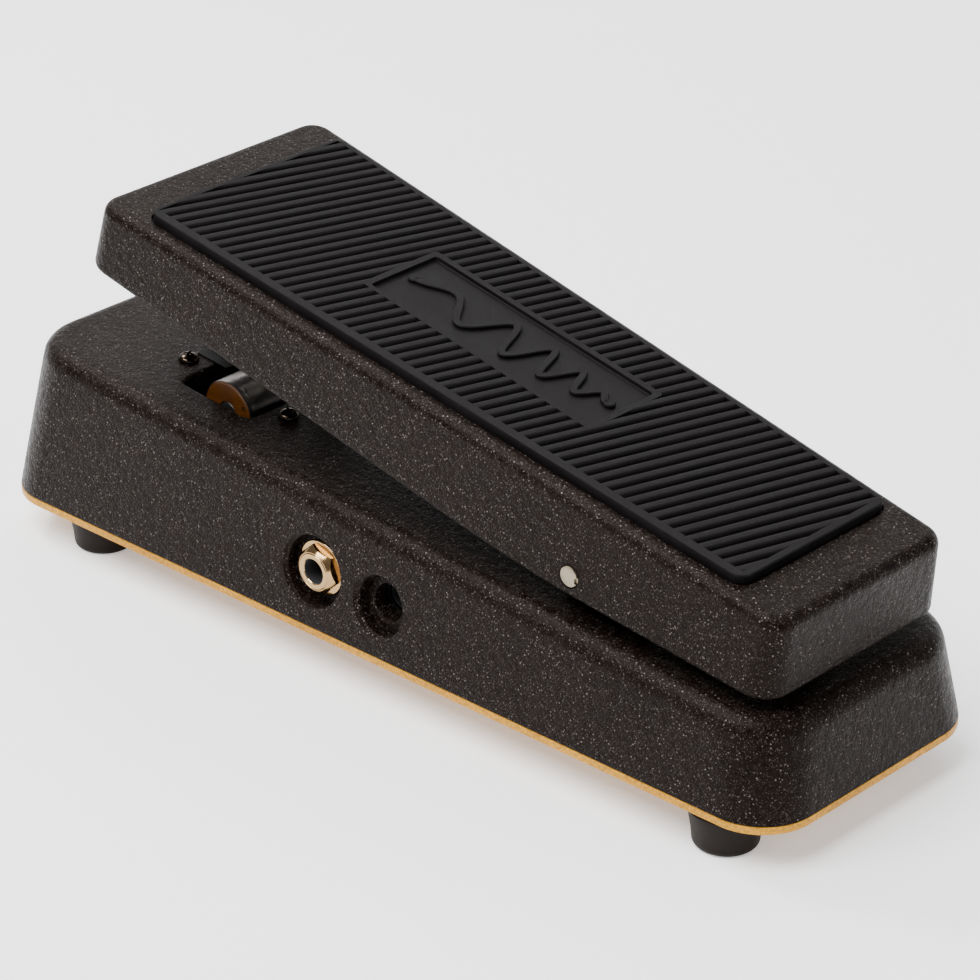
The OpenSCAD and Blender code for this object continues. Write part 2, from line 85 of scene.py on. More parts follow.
class NT:
    """small helper round a material's node tree"""

    def __init__(self, name, rough=0.5, metal=0.0, spec=None, coat=None, coat_rough=None, sheen=None):
        self.m = bpy.data.materials.new(name)
        self.m.use_nodes = True
        self.t = self.m.node_tree
        self.b = self.t.nodes["Principled BSDF"]
        self.b.inputs["Roughness"].default_value = rough
        self.b.inputs["Metallic"].default_value = metal
        if spec is not None:
            self.b.inputs["Specular IOR Level"].default_value = spec
        if coat is not None:
            self.b.inputs["Coat Weight"].default_value = coat
        if coat_rough is not None:
            self.b.inputs["Coat Roughness"].default_value = coat_rough
        if sheen is not None:
            self.b.inputs["Sheen Weight"].default_value = sheen
            self.b.inputs["Sheen Roughness"].default_value = 0.5
        self.co = self.t.nodes.new("ShaderNodeTexCoord").outputs["Object"]

    def n(self, kind, **kw):
        node = self.t.nodes.new(kind)
        for k, v in kw.items():
            if k in node.inputs.keys():
                if isinstance(v, bpy.types.NodeSocket):
                    self.t.links.new(v, node.inputs[k])
                else:
                    node.inputs[k].default_value = v
            else:
                setattr(node, k, v)
        return node

    def link(self, a, b):
        self.t.links.new(a, b)

    def noise(self, scale, detail=2.0, rough=0.5, vec=None, dist=0.0):
        return self.n("ShaderNodeTexNoise", Vector=vec or self.co, Scale=scale, Detail=detail, Roughness=rough, Distortion=dist).outputs["Fac"]

    def vor(self, scale, feature="F1", rand=1.0, vec=None):
        v = self.n("ShaderNodeTexVoronoi", Vector=vec or self.co, Scale=scale, Randomness=rand)
        v.feature = feature
        return v

    def ramp(self, fac, stops, interp="LINEAR"):
        r = self.n("ShaderNodeValToRGB", Fac=fac)
        cr = r.color_ramp
        cr.interpolation = interp
        while len(cr.elements) < len(stops):
            cr.elements.new(0.5)
        for e, (p, c) in zip(cr.elements, stops):
            e.position = p
            e.color = (c, c, c, 1) if isinstance(c, (int, float)) else (*c, 1)
        return r.outputs["Color"]

    def math(self, op, a, b=None, clamp=False):
        node = self.t.nodes.new("ShaderNodeMath")
        node.operation = op
        node.use_clamp = clamp
        for i, v in enumerate((a, b)):
            if v is None:
                continue
            if isinstance(v, bpy.types.NodeSocket):
                self.t.links.new(v, node.inputs[i])
            else:
                node.inputs[i].default_value = v
        return node.outputs[0]

    def mix(self, fac, a, b, mode="MIX"):
        node = self.t.nodes.new("ShaderNodeMix")
        node.data_type = "RGBA"
        node.blend_type = mode
        for key, v in (("Factor", fac), ("A", a), ("B", b)):
            sock = [s for s in node.inputs if s.name == key and (s.type == ("VALUE" if key == "Factor" else "RGBA"))][0]
            if isinstance(v, bpy.types.NodeSocket):
                self.t.links.new(v, sock)
            elif key == "Factor":
                sock.default_value = v
            else:
                sock.default_value = (*v, 1) if len(v) == 3 else v
        return [s for s in node.outputs if s.type == "RGBA"][0]

    def color(self, c):
        if isinstance(c, bpy.types.NodeSocket):
            self.link(c, self.b.inputs["Base Color"])
        else:
            self.b.inputs["Base Color"].default_value = (*c, 1)

    def rough(self, s):
        self.link(s, self.b.inputs["Roughness"])

    def bump(self, h, dist, strength=1.0, prev=None):
        bn = self.n("ShaderNodeBump", Height=h, Strength=strength, Distance=dist)
        if prev is not None:
            self.link(prev, bn.inputs["Normal"])
        return bn.outputs["Normal"]

    def normal(self, s):
        self.link(s, self.b.inputs["Normal"])


def mat_cast():
    """black hammertone powder coat with silver fleck"""
    k = NT("hammertone_black", rough=0.36, spec=0.055)
    # the lattice of the noises is turned away from every wall, so no row of flecks follows a flat face
    k.co = k.n("ShaderNodeMapping", Vector=k.co, Rotation=(0.62, 0.83, 0.37)).outputs["Vector"]
    big = k.noise(45, 3, 0.6)
    cell = k.vor(1600, "F1")
    fine = k.vor(3600, "F1")
    wr = k.noise(560, 4, 0.65)
    rnd = k.n("ShaderNodeSeparateColor", Color=cell.outputs["Color"])
    pick = k.ramp(rnd.outputs[0], [(0.66, 0.0), (0.76, 0.24), (0.92, 0.60), (0.99, 1.0)])
    near = k.ramp(cell.outputs["Distance"], [(0.0, 1.0), (0.18, 0.85), (0.38, 0.0)])
    f1 = k.math("MULTIPLY", pick, near)
    pick2 = k.math("GREATER_THAN", k.n("ShaderNodeSeparateColor", Color=fine.outputs["Color"]).outputs[1], 0.78)
    near2 = k.ramp(fine.outputs["Distance"], [(0.0, 1.0), (0.30, 0.5), (0.5, 0.0)])
    f2 = k.math("MULTIPLY", k.math("MULTIPLY", pick2, near2), 0.40)
    fleck = k.math("MAXIMUM", f1, f2, clamp=True)
    base = k.mix(k.ramp(big, [(0.3, 0.0), (0.7, 1.0)]), (0.0021, 0.0010, 0.0006), (0.0040, 0.0021, 0.0014))
    base = k.mix(k.ramp(wr, [(0.46, 0.0), (0.66, 0.55)]), base, (0.0095, 0.0055, 0.0040))
    col = k.mix(fleck, base, (0.180, 0.158, 0.146))
    k.color(col)
    k.rough(k.ramp(wr, [(0.35, 0.26), (0.65, 0.46)]))
    k.link(k.math("MULTIPLY", fleck, 0.35), k.b.inputs["Metallic"])
    hgt = k.math("ADD", k.math("MULTIPLY", wr, 1.0), k.math("MULTIPLY", k.noise(1700, 2, 0.5), 0.25))
    nrm = k.bump(hgt, 0.00042, 1.0)
    k.normal(nrm)
    k.b.inputs["Specular Tint"].default_value = (1.0, 0.82, 0.72, 1)
    k.b.inputs["Coat Weight"].default_value = 0.03
    k.b.inputs["Coat Roughness"].default_value = 0.14
    k.link(k.bump(k.noise(900, 3, 0.6), 0.00055, 1.0), k.b.inputs["Coat Normal"])
    return k.m


def mat_rubber(name="mat_rubber", base=(0.0034, 0.0027, 0.0029), hi=(0.0060, 0.0049, 0.0053), rough=0.60):
    k = NT(name, rough=rough, spec=0.10)
    n1 = k.noise(90, 4, 0.55)
    n2 = k.noise(2600, 2, 0.5)
    col = k.mix(k.ramp(n1, [(0.35, 0.0), (0.70, 1.0)]), base, hi)
    col = k.mix(k.ramp(n2, [(0.62, 0.0), (0.74, 0.35)]), col, (0.035, 0.031, 0.034))
    k.color(col)
    k.rough(k.ramp(n1, [(0.3, rough - 0.08), (0.7, rough + 0.08)]))
    k.normal(k.bump(n2, 0.00006, 0.5))
    return k.m


def mat_gold():
    k = NT("plate_gold", rough=0.42, metal=0.75)
    g = k.noise(1400, 3, 0.6)
    b = k.noise(40, 2, 0.5)
    col = k.mix(k.ramp(b, [(0.3, 0.0), (0.7, 1.0)]), (0.44, 0.205, 0.012), (0.58, 0.285, 0.022))
    col = k.mix(k.ramp(g, [(0.40, 0.0), (0.62, 0.6)]), col, (0.22, 0.098, 0.008))
    k.color(col)
    k.rough(k.ramp(g, [(0.3, 0.36), (0.7, 0.56)]))
    k.normal(k.bump(g, 0.00010, 0.6))
    return k.m


def mat_metal(name, color, rough, aniso_scale=(900, 900, 60), grain=0.08, spots=True, dirt=(0.25, 0.22, 0.20)):
    k = NT(name, rough=rough, metal=1.0)
    mp = k.n("ShaderNodeMapping", Vector=k.co, Scale=aniso_scale)
    n1 = k.noise(1.0, 3, 0.6, vec=mp.outputs[0])
    n2 = k.noise(160, 4, 0.6)
    col = k.mix(k.ramp(n2, [(0.45, 0.0), (0.75, 0.35 if spots else 0.0)]), color, dirt)
    k.color(col)
    k.rough(k.ramp(n1, [(0.3, max(0.03, rough - grain)), (0.7, rough + grain)]))
    k.normal(k.bump(n1, 0.00002, 0.35))
    return k.m


def mat_plastic(name, color, rough=0.45, vary=0.15, scale=700, coat=None):
    k = NT(name, rough=rough, coat=coat)
    n1 = k.noise(70, 3, 0.55)
    n2 = k.noise(scale, 3, 0.5)
    lo = tuple(c * (1 - vary) for c in color)
    hi = tuple(min(1, c * (1 + vary)) for c in color)
    k.color(k.mix(k.ramp(n1, [(0.3, 0.0), (0.7, 1.0)]), lo, hi))
    k.rough(k.ramp(n2, [(0.3, max(0.05, rough - 0.08)), (0.7, rough + 0.08)]))
    k.normal(k.bump(n2, 0.00004, 0.4))
    return k.m


def mat_phenolic():
    k = NT("phenolic_brown", rough=0.38, coat=0.3, coat_rough=0.25)
    mp = k.n("ShaderNodeMapping", Vector=k.co, Scale=(400, 400, 1600))
    n1 = k.noise(1.0, 4, 0.65, vec=mp.outputs[0])
    n2 = k.noise(120, 3, 0.5)
    c = k.mix(k.ramp(n1, [(0.3, 0.0), (0.7, 1.0)]), (0.060, 0.018, 0.0022), (0.130, 0.042, 0.005))
    c = k.mix(k.ramp(n2, [(0.5, 0.0), (0.75, 0.5)]), c, (0.05, 0.016, 0.003))
    k.color(c)
    k.rough(k.ramp(n2, [(0.3, 0.30), (0.7, 0.48)]))
    k.normal(k.bump(n1, 0.00003, 0.4))
    return k.m


def mat_board():
    k = NT("board_green", rough=0.35, coat=0.4, coat_rough=0.2)
    wv = k.n("ShaderNodeTexWave", Vector=k.co, Scale=160.0, Distortion=6.0, Detail=1.0)
    tr = k.ramp(wv.outputs["Fac"], [(0.45, 0.0), (0.52, 1.0)])
    k.color(k.mix(tr, (0.012, 0.075, 0.028), (0.022, 0.13, 0.05)))
    k.normal(k.bump(tr, 0.00003, 0.5))
    k.rough(k.ramp(k.noise(300, 2, 0.5), [(0.3, 0.28), (0.7, 0.45)]))
    return k.m


M = {
    "cast": mat_cast(),
    "mat": mat_rubber(),
    "foot": mat_rubber("foot_rubber", (0.0062, 0.0040, 0.0030), (0.0105, 0.0072, 0.0054), 0.52),
    "pad": mat_rubber("pad_felt", (0.012, 0.012, 0.012), (0.03, 0.03, 0.03), 0.9),
    "gold": mat_gold(),
    "steel": mat_metal("turned_steel", (0.27, 0.225, 0.165), 0.36, (900, 900, 900), 0.10, dirt=(0.17, 0.135, 0.09)),
    "zinc": mat_metal("zinc_plate", (0.55, 0.55, 0.54), 0.36, (500, 500, 500), 0.10),
    "nickel": mat_metal("polished_nickel", (0.40, 0.258, 0.118), 0.15, (200, 200, 200), 0.05, dirt=(0.30, 0.19, 0.085)),
    "black_screw": mat_metal("black_oxide", (0.050, 0.037, 0.027), 0.18, (700, 700, 700), 0.06, dirt=(0.03, 0.022, 0.016)),
    "can": mat_metal("pot_can_plate", (0.36, 0.33, 0.32), 0.30, (240, 240, 240), 0.05, dirt=(0.20, 0.17, 0.16)),
    "brass": mat_metal("brass", (0.72, 0.52, 0.22), 0.30, (600, 600, 600), 0.08),
    "nylon": mat_plastic("nylon_white", (0.66, 0.63, 0.55), 0.45, 0.06),
    "blackpl": mat_plastic("plastic_black", (0.014, 0.014, 0.014), 0.42, 0.25),
    "bluepl": mat_plastic("plastic_blue", (0.015, 0.06, 0.22), 0.4, 0.12),
    "phenolic": mat_phenolic(),
    "board": mat_board(),
    "parts": mat_plastic("components", (0.22, 0.08, 0.03), 0.4, 0.5, 500),
    "cell": mat_plastic("battery_can", (0.02, 0.02, 0.024), 0.3, 0.3, 300, 0.3),
    "foam": mat_plastic("foam_grey", (0.05, 0.05, 0.055), 0.9, 0.3, 1500),
    "wire": mat_plastic("wire_red", (0.30, 0.02, 0.015), 0.4, 0.1),
    # painted shade: a near-black matte surface laid where only shade falls, in the depth of the jack bores
    "painted_shade": mat_plastic("painted_shade_black", (0.008, 0.008, 0.008), 0.7, 0.2),
}

# ------------------------------------------------------------------ mesh helpers


def obj_from(name, verts, faces, mat, angle=35.0, M4=None):
    me = bpy.data.meshes.new(name)
    V = np.asarray(verts, float)
    if M4 is not None:
        A = np.array(M4)
        V = V @ A[:3, :3].T + A[:3, 3]
    me.from_pydata((V * MM).tolist(), [], [list(map(int, f)) for f in faces])
    me.validate()
    me.update()
    o = bpy.data.objects.new(name, me)
    bpy.context.scene.collection.objects.link(o)
    if mat is not None:
        me.materials.append(M[mat] if isinstance(mat, str) else mat)
    finish_mesh(o, angle)
    return o


def finish_mesh(o, angle=35.0, recalc=True):
    me = o.data
    if recalc:
        bm = bmesh.new()
        bm.from_mesh(me)
        bmesh.ops.remove_doubles(bm, verts=bm.verts, dist=2e-6)
        bmesh.ops.recalc_face_normals(bm, faces=bm.faces)
        bm.to_mesh(me)
        bm.free()
    me.shade_smooth()
    if angle < 179:
        me.set_sharp_from_angle(angle=math.radians(angle))


def apply_mods(o, angle=35.0):
    dg = bpy.context.evaluated_depsgraph_get()
    dg.update()
    ev = o.evaluated_get(dg)
    me = bpy.data.meshes.new_from_object(ev)
    old = o.data
    mats = [s for s in old.materials]
    o.modifiers.clear()
    o.data = me
    me.materials.clear()
    for m_ in mats:
        me.materials.append(m_)
    bpy.data.meshes.remove(old)
    me.shade_smooth()
    if angle < 179:
        me.set_sharp_from_angle(angle=math.radians(angle))
    return o


def boolean(o, cutters, op="DIFFERENCE", angle=35.0, kill=True):
    for i, c in enumerate(cutters):
        md = o.modifiers.new(f"b{i}", "BOOLEAN")
        md.operation = op
        md.object = c
        md.solver = "EXACT"
    apply_mods(o, angle)
    if kill:
        for c in cutters:
            bpy.data.objects.remove(c)
    return o


def loft(loops, cap0=True, cap1=True, closed=True):
    """loops: list of (n,3) arrays; returns verts, faces"""
    n = len(loops[0])
    V = np.concatenate(loops)
    F = []
    for k in range(len(loops) - 1):
        a, b = k * n, (k + 1) * n
        for i in range(n):
            j = (i + 1) % n
            F.append((a + i, a + j, b + j, b + i))
    if cap0:
        F.append(tuple(range(n))[::-1])
    if cap1:
        F.append(tuple((len(loops) - 1) * n + i for i in range(n)))
    return V, F


def outline(x0, x1, h0, r, tp, n=14, nl=1, nw=1):
    """tapered rounded rectangle; corner order: +x+y, -x+y, -x-y, +x-y"""
    hw = lambda x: h0 - tp * x
    cs = [(x1 - r, hw(x1 - r) - r, 0), (x0 + r, hw(x0 + r) - r, 90), (x0 + r, -(hw(x0 + r) - r), 180), (x1 - r, -(hw(x1 - r) - r), 270)]
    pts = []
    for q, (cx, cy, a0) in enumerate(cs):
        arc = [(cx + r * math.cos(math.radians(a0 + 90 * i / n)), cy + r * math.sin(math.radians(a0 + 90 * i / n))) for i in range(n + 1)]
        pts += arc
        nx = cs[(q + 1) % 4]
        st = (nx[0] + r * math.cos(math.radians(a0 + 90)), nx[1] + r * math.sin(math.radians(a0 + 90)))
        m = nl if q in (0, 2) else nw
        for i in range(1, m):
            t = i / m
            pts.append((arc[-1][0] * (1 - t) + st[0] * t, arc[-1][1] * (1 - t) + st[1] * t))
    return np.array(pts)


def normals2(P):
    """outward unit normals of a closed 2d outline (anticlockwise)"""
    d = np.roll(P, -1, 0) - np.roll(P, 1, 0)
    nrm = np.c_[d[:, 1], -d[:, 0]]
    return nrm / np.linalg.norm(nrm, axis=1, keepdims=True)


def fillet(V, a, b, r, n=8):
    """arc from V+a*L to V+b*L, tangent to both directions; all (m,3) arrays; returns list of n+1 loops"""
    a = a / np.linalg.norm(a, axis=1, keepdims=True)
    b = b / np.linalg.norm(b, axis=1, keepdims=True)
    c = np.clip((a * b).sum(1), -1, 1)
    phi = np.arccos(c)
    L = (r / np.tan(phi / 2))[:, None]
    m = a + b
    m /= np.linalg.norm(m, axis=1, keepdims=True)
    C = V + m * (r / np.sin(phi / 2))[:, None]
    s, e = V + a * L - C, V + b * L - C
    om = np.arccos(np.clip((s * e).sum(1) / (r * r), -1, 1))[:, None]
    out = []
    for i in range(n + 1):
        t = i / n
        out.append(C + (np.sin((1 - t) * om) * s + np.sin(t * om) * e) / np.sin(om))
    return out


def revolve(prof, seg=64):
    """prof: closed or axis-to-axis list of (r,z); returns verts, faces about +Z"""
    prof = list(prof)
    closed = prof[0][0] > 1e-6 or prof[-1][0] > 1e-6
    V, F, idx = [], [], []
    for r, z in prof:
        if r < 1e-6:
            idx.append([len(V)] * seg)
            V.append((0, 0, z))
        else:
            st = len(V)
            V += [(r * math.cos(2 * math.pi * i / seg), r * math.sin(2 * math.pi * i / seg), z) for i in range(seg)]
            idx.append(list(range(st, st + seg)))
    rng = range(len(prof)) if closed else range(len(prof) - 1)
    for k in rng:
        a, b = idx[k], idx[(k + 1) % len(prof)]
        for i in range(seg):
            j = (i + 1) % seg
            f = []
            for v in (a[i], a[j], b[j], b[i]):
                if v not in f:
                    f.append(v)
            if len(f) > 2:
                F.append(f)
    return V, F


YAX = Matrix.Rotation(math.radians(-90), 4, "X")  # maps +Z to +Y
YNEG = Matrix.Rotation(math.radians(90), 4, "X")  # maps +Z to -Y


def rev(name, prof, mat, M4, seg=64, angle=35.0):
    V, F = revolve(prof, seg)
    return obj_from(name, V, F, mat, angle, M4)


def prism(name, pts, z0, z1, mat, M4=None, angle=35.0):
    P = np.asarray(pts, float)
    V, F = loft([np.c_[P, np.full(len(P), z0)], np.c_[P, np.full(len(P), z1)]])
    return obj_from(name, V, F, mat, angle, M4)


def block(name, lo, hi, mat, bev=0.4, M4=None, seg=2):
    x0, y0, z0 = lo
    x1, y1, z1 = hi
    V = [(x0, y0, z0), (x1, y0, z0), (x1, y1, z0), (x0, y1, z0), (x0, y0, z1), (x1, y0, z1), (x1, y1, z1), (x0, y1, z1)]
    F = [(3, 2, 1, 0), (4, 5, 6, 7), (0, 1, 5, 4), (1, 2, 6, 5), (2, 3, 7, 6), (3, 0, 4, 7)]
    o = obj_from(name, V, F, mat, 35, M4)
    if bev:
        bm = bmesh.new()
        bm.from_mesh(o.data)
        bmesh.ops.bevel(bm, geom=bm.edges[:], offset=bev * MM, segments=seg, affect="EDGES", profile=0.5)
        bm.to_mesh(o.data)
        bm.free()
        o.data.shade_smooth()
        o.data.set_sharp_from_angle(angle=math.radians(40))
    return o


def hexpts(r, rot=0.0):
    return [(r * math.cos(math.radians(60 * i + rot)), r * math.sin(math.radians(60 * i + rot))) for i in range(6)]


def join(name, objs):
    bpy.ops.object.select_all(action="DESELECT")
    for o in objs:
        o.select_set(True)
    bpy.context.view_layer.objects.active = objs[0]
    bpy.ops.object.join()
    o = bpy.context.view_layer.objects.active
    o.name = name
    return o


def place(o, body, rep=()):
    wn = o.modifiers.new("flat_faces_first", "WEIGHTED_NORMAL")
    wn.keep_sharp = True
    wn.mode = "FACE_AREA"
    wn.weight = 60
    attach(o, body)
    if rep:
        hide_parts(*rep)
    return o


def cyl_cut(r, y0, y1, x, z, seg=72):
    return rev("cut", [(0, y0), (r, y0), (r, y1), (0, y1)], None, Matrix.Translation((x, 0, z)) @ YAX, seg)


# ------------------------------------------------------------------ base shell
def base_loops():
    NC, NLG, NW = 16, 24, 8
    ob = outline(-HL, HL, H0, PR, TAP, NC, NLG, NW)
    x0 = -HL + (ztop(-HL) - PT) * DR
    x1 = HL - (ztop(HL) - PT) * DR
    hh = H0 - (TMID - PT) * DR
    tt = TAP - FALL * DR
    ot = outline(x0, x1, hh, PR + 1.7, tt, NC, NLG, NW)
    B = np.c_[ob, np.full(len(ob), PT)]
    T = np.c_[ot, ztop(ot[:, 0])]
    a = B - T
    nrm = normals2(ot)
    b = np.c_[-nrm, -FALL * -nrm[:, 0]]
    fl = fillet(T, a, b, ER, 10)
    loops = []
    # tiny lower edge round, side in steps, upper edge arc
    n3 = np.c_[normals2(ob), np.zeros(len(ob))]
    loops.append(B - n3 * 0.35)
    loops.append(B - n3 * 0.10 + np.array([0, 0, 0.10]))
    first = B + (fl[0] - B) * 0.012
    loops.append(first)
    for t in (0.2, 0.4, 0.6, 0.8):
        loops.append(B + (fl[0] - B) * t)
    loops += fl
    return ob, ot, x0, x1, hh, tt, loops


ob, ot, bx0, bx1, bhh, btt, outer = base_loops()
inner_b = outline(-HL + 3.4, HL - 3.4, H0 - 3.4, PR - 3.4, TAP, 16, 24, 8)
inner_t = outline(bx0 + 3.9, bx1 - 3.9, bhh - 3.9, PR - 1.5, btt, 16, 24, 8)
IT = np.c_[inner_t, ztop(inner_t[:, 0]) - 4.0]
IB = np.c_[inner_b, np.full(len(inner_b), PT)]
V, F = loft([IT, IB] + outer, True, True)
shell = obj_from("shell_casting", V, F, "cast", 40)
pads = []
for s in (-1, 1):
    xe = 18.7 if s < 0 else -1.3
    for (ya, yb_, za, zb) in ((33.0, 39.6, 16.0, 27.0), (33.0, 38.2, 26.9, 37.9)):
        lo = (-24.3, -yb_ if s < 0 else ya, za)
        hi = (xe, -ya if s < 0 else yb_, zb)
        pads.append(block("cut", lo, hi, None, 0))
boolean(shell, pads, "UNION", 40)

WN = math.atan(DR)


def recess(x, z, r, yf, s, flare=1.3):
    """revolved cutter for a recess in the near (s=-1) or far wall, its mouth eased to follow the wall"""
    yw = H0 - TAP * x - (z - PT) * DR
    straight = rev("cut", [(0, yf + 0.0), (r - 0.9, yf), (r - 0.25, yf + 0.25), (r, yf + 0.9), (r, 62), (0, 62)], None,
                   Matrix.Translation((x, 0, z)) @ (YNEG if s < 0 else YAX), 96)
    # eased mouth: a short cone with a rounded flank, square to the wall
    prof = [(0, -3.0), (r - 0.02, -3.0)]
    for i in range(9):
        a = math.radians(90 * i / 8)
        prof.append((r - 0.02 + flare * (1 - math.cos(a)), -flare + flare * math.sin(a)))
    prof += [(r + flare + 0.6, 0.6), (r + flare + 0.6, 3.0), (0, 3.0)]
    ax = YNEG if s < 0 else YAX
    tilt = Matrix.Rotation((WN if s > 0 else -WN), 4, "X") @ Matrix.Rotation((-math.atan(TAP) if s < 0 else math.atan(TAP)), 4, "Z")
    mouth = rev("cut", prof, None, Matrix.Translation((x, s * yw, z)) @ tilt @ ax, 96)
    return [straight, mouth]


cut = []
cut += recess(JX, JZ, 9.0, 37.9, -1, 0.45)
cut += recess(JX, JZ, 9.0, 37.9, 1, 0.45)
cut += recess(DX, DZ, 7.4, 37.8, -1, 0.8)
cut.append(cyl_cut(4.8, -38.4, -30, JX, JZ))
cut.append(cyl_cut(4.8, 30, 38.4, JX, JZ))
cut.append(rev("cut", [(0, 30), (4.6, 30), (4.6, 37.2), (4.8, 37.6), (5.3, 37.8), (5.3, 38.3), (0, 38.3)], None, Matrix.Translation((DX, 0, DZ)) @ YNEG, 72))
boolean(shell, cut, "DIFFERENCE", 40)


def round_rect(x0, x1, y0, y1, r, n=8):
    P = []
    for cx, cy, a0 in ((x1 - r, y1 - r, 0), (x0 + r, y1 - r, 90), (x0 + r, y0 + r, 180), (x1 - r, y0 + r, 270)):
        P += [(cx + r * math.cos(math.radians(a0 + 90 * i / n)), cy + r * math.sin(math.radians(a0 + 90 * i / n))) for i in range(n + 1)]
    return P


def slot_cutter():
    """the opening over the potentiometer and the rack, with an eased upper edge, square to the sloping top"""
    # one outline: wide part for the pot, narrow part for the rack (top plane coordinates about x=-62)
    cx = -64.0
    x = lambda v: (v - cx)
    P = [(x(-51.9), -25.9), (x(-51.9), -8.6), (x(-47.5), -8.6), (x(-47.5), 12), (x(-71), 12), (x(-71), -7.3), (x(-76.5), -7.3), (x(-76.5), -25.9)]
    R = [2.2, 1.0, 1.2, 2.0, 2.0, 1.2, 2.0, 2.2]
    n = len(P)
    def build(off):
        out = []
        for i in range(n):
            p = np.array(P[i], float); a = np.array(P[i - 1], float); b = np.array(P[(i + 1) % n], float)
            da = (a - p) / np.linalg.norm(a - p); db = (b - p) / np.linalg.norm(b - p)
            conv = da[0] * db[1] - da[1] * db[0]
            r = R[i] + (off if conv < 0 else -off)
            r = max(r, 0.15)
            # offset the corner outwards
            na = np.array([-(p - a)[1], (p - a)[0]]); na = na / np.linalg.norm(na)
            nb = np.array([-(b - p)[1], (b - p)[0]]); nb = nb / np.linalg.norm(nb)
            q = p - (na + nb) * off if True else p
            c = q + (da + db) * r
            s0, s1 = q + da * r - c, q + db * r - c
            for k in range(9):
                t = k / 8
                om = math.pi / 2
                v = (math.sin((1 - t) * om) * s0 + math.sin(t * om) * s1)
                out.append(c + v)
        return np.array(out)
    loops = []
    loops.append(np.c_[build(0.0), np.full(9 * n, -12.0)])
    loops.append(np.c_[build(0.0), np.full(9 * n, -1.2)])
    for i in range(1, 7):
        a = math.radians(90 * i / 6)
        loops.append(np.c_[build(1.2 * (1 - math.cos(a))), np.full(9 * n, -1.2 + 1.2 * math.sin(a))])
    loops.append(np.c_[build(1.2 + 0.5), np.full(9 * n, 0.5)])
    loops.append(np.c_[build(1.2 + 0.5), np.full(9 * n, 3.0)])
    V, F = loft(loops)
    return obj_from("cut", V, F, None, 40, on_top(cx, 0))


cut = [slot_cutter(), rev("cut", [(0, -8), (6.15, -8), (6.15, 3), (0, 3)], None, on_top(SWX, 0), 72)]
for (x, y) in ((-83.0, -17.4), (-46.2, -17.9)):
    cut.append(rev("cut", [(0, -8), (1.6, -8), (1.6, 3), (0, 3)], None, on_top(x, y), 32))
boolean(shell, cut, "DIFFERENCE", 40)
place(shell, "base", ["base_shell"])

# pivot lugs, each a post with a rounded head, flared into the top
for s in (-1, 1):
    ya, yb_ = (15, 23)
    prof = []
    R = 7.2
    zb = ztop(PVX) - 2.0 - PVZ
    for i in range(25):
        a = math.radians(180 * i / 24)
        prof.append((R * math.cos(a), R * math.sin(a)))
    for i in range(7):
        a = math.radians(90 * i / 6)
        prof.append((-R - 3 + 3 * math.cos(a), zb + 5.6 - 3 * math.sin(a)))
    prof += [(-R - 3, zb), (R + 3, zb)]
    for i in range(7):
        a = math.radians(90 - 90 * i / 6)
        prof.append((R + 3 - 3 * math.cos(a), zb + 5.6 - 3 * math.sin(a)))
    P = np.array(prof)
    def lp(y, sc):
        Q = P * np.array([sc, sc])
        return np.c_[PVX + Q[:, 0], np.full(len(Q), s * y), PVZ + Q[:, 1]]
    loops = [lp(ya, 0.93), lp(ya + 0.5, 1.0), lp(yb_ - 0.5, 1.0), lp(yb_, 0.93)]
    V, F = loft(loops)
    lug = obj_from("pivot_lug_" + ("far" if s > 0 else "near"), V, F, "cast", 40)
    boolean(lug, [cyl_cut(5.0, -30, 30, PVX, PVZ)], "DIFFERENCE", 40)
    place(lug, "base")

# ------------------------------------------------------------------ bottom plate
po = outline(-HL, HL, H0, PR, TAP, 24, 2, 2)
pn = np.c_[normals2(po), np.zeros(len(po))]
PB = np.c_[po, np.full(len(po), PZ)]
PTT = np.c_[po, np.full(len(po), PT)]
up = np.array([0, 0, 1.0])
loops = [PB - pn * 0.35, PB - pn * 0.1 + up * 0.08, PB + up * 0.35, PTT - up * 0.3, PTT - pn * 0.08 - up * 0.07, PTT - pn * 0.3]
V, F = loft(loops)
plate = obj_from("bottom_plate_gold", V, F, "gold", 40)
cut = [rev("cut", [(0, PZ - 1), (2.3, PZ - 1), (2.3, 14), (0, 14)], None, Matrix.Translation((x, y, 0)), 32) for x, y in FEET]
cut += [rev("cut", [(0, PZ - 1), (1.65, PZ - 1), (1.65, 14), (0, 14)], None, Matrix.Translation((x, y, 0)), 32) for x in (8, 48) for y in (-18, 18)]
boolean(plate, cut, "DIFFERENCE", 40)
place(plate, "base", ["bottom_plate"])

# ------------------------------------------------------------------ feet
feet = []
for (x, y) in FEET:
    prof = [(2.3, 4.0), (4.6, 4.0), (4.6, 0.35), (4.9, 0.0), (6.3, 0.0)]
    for i in range(1, 9):
        a = math.radians(90 * i / 8)
        prof.append((6.3 + 1.5 * math.sin(a), 1.5 - 1.5 * math.cos(a)))
    prof += [(8.0, 4.0), (8.6, 7.4), (8.85, 9.1), (8.8, 9.4), (8.3, 9.65), (8.3, 9.88), (2.3, 9.88)]
    feet.append(rev("foot", prof, "foot", Matrix.Translation((x, y, 0)), 72, 50))
feet = join("rubber_foot_set", feet)
place(feet, "base", ["rubber_feet"])

# ------------------------------------------------------------------ treadle casting


def depth(u):
    a = 17.8 + 0.04709 * (u + TL)
    b = 24.6 - 0.05932 * (u - 36.8)
    k = 0.9
    return -k * np.log(np.exp(-a / k) + np.exp(-b / k)) + 0.25


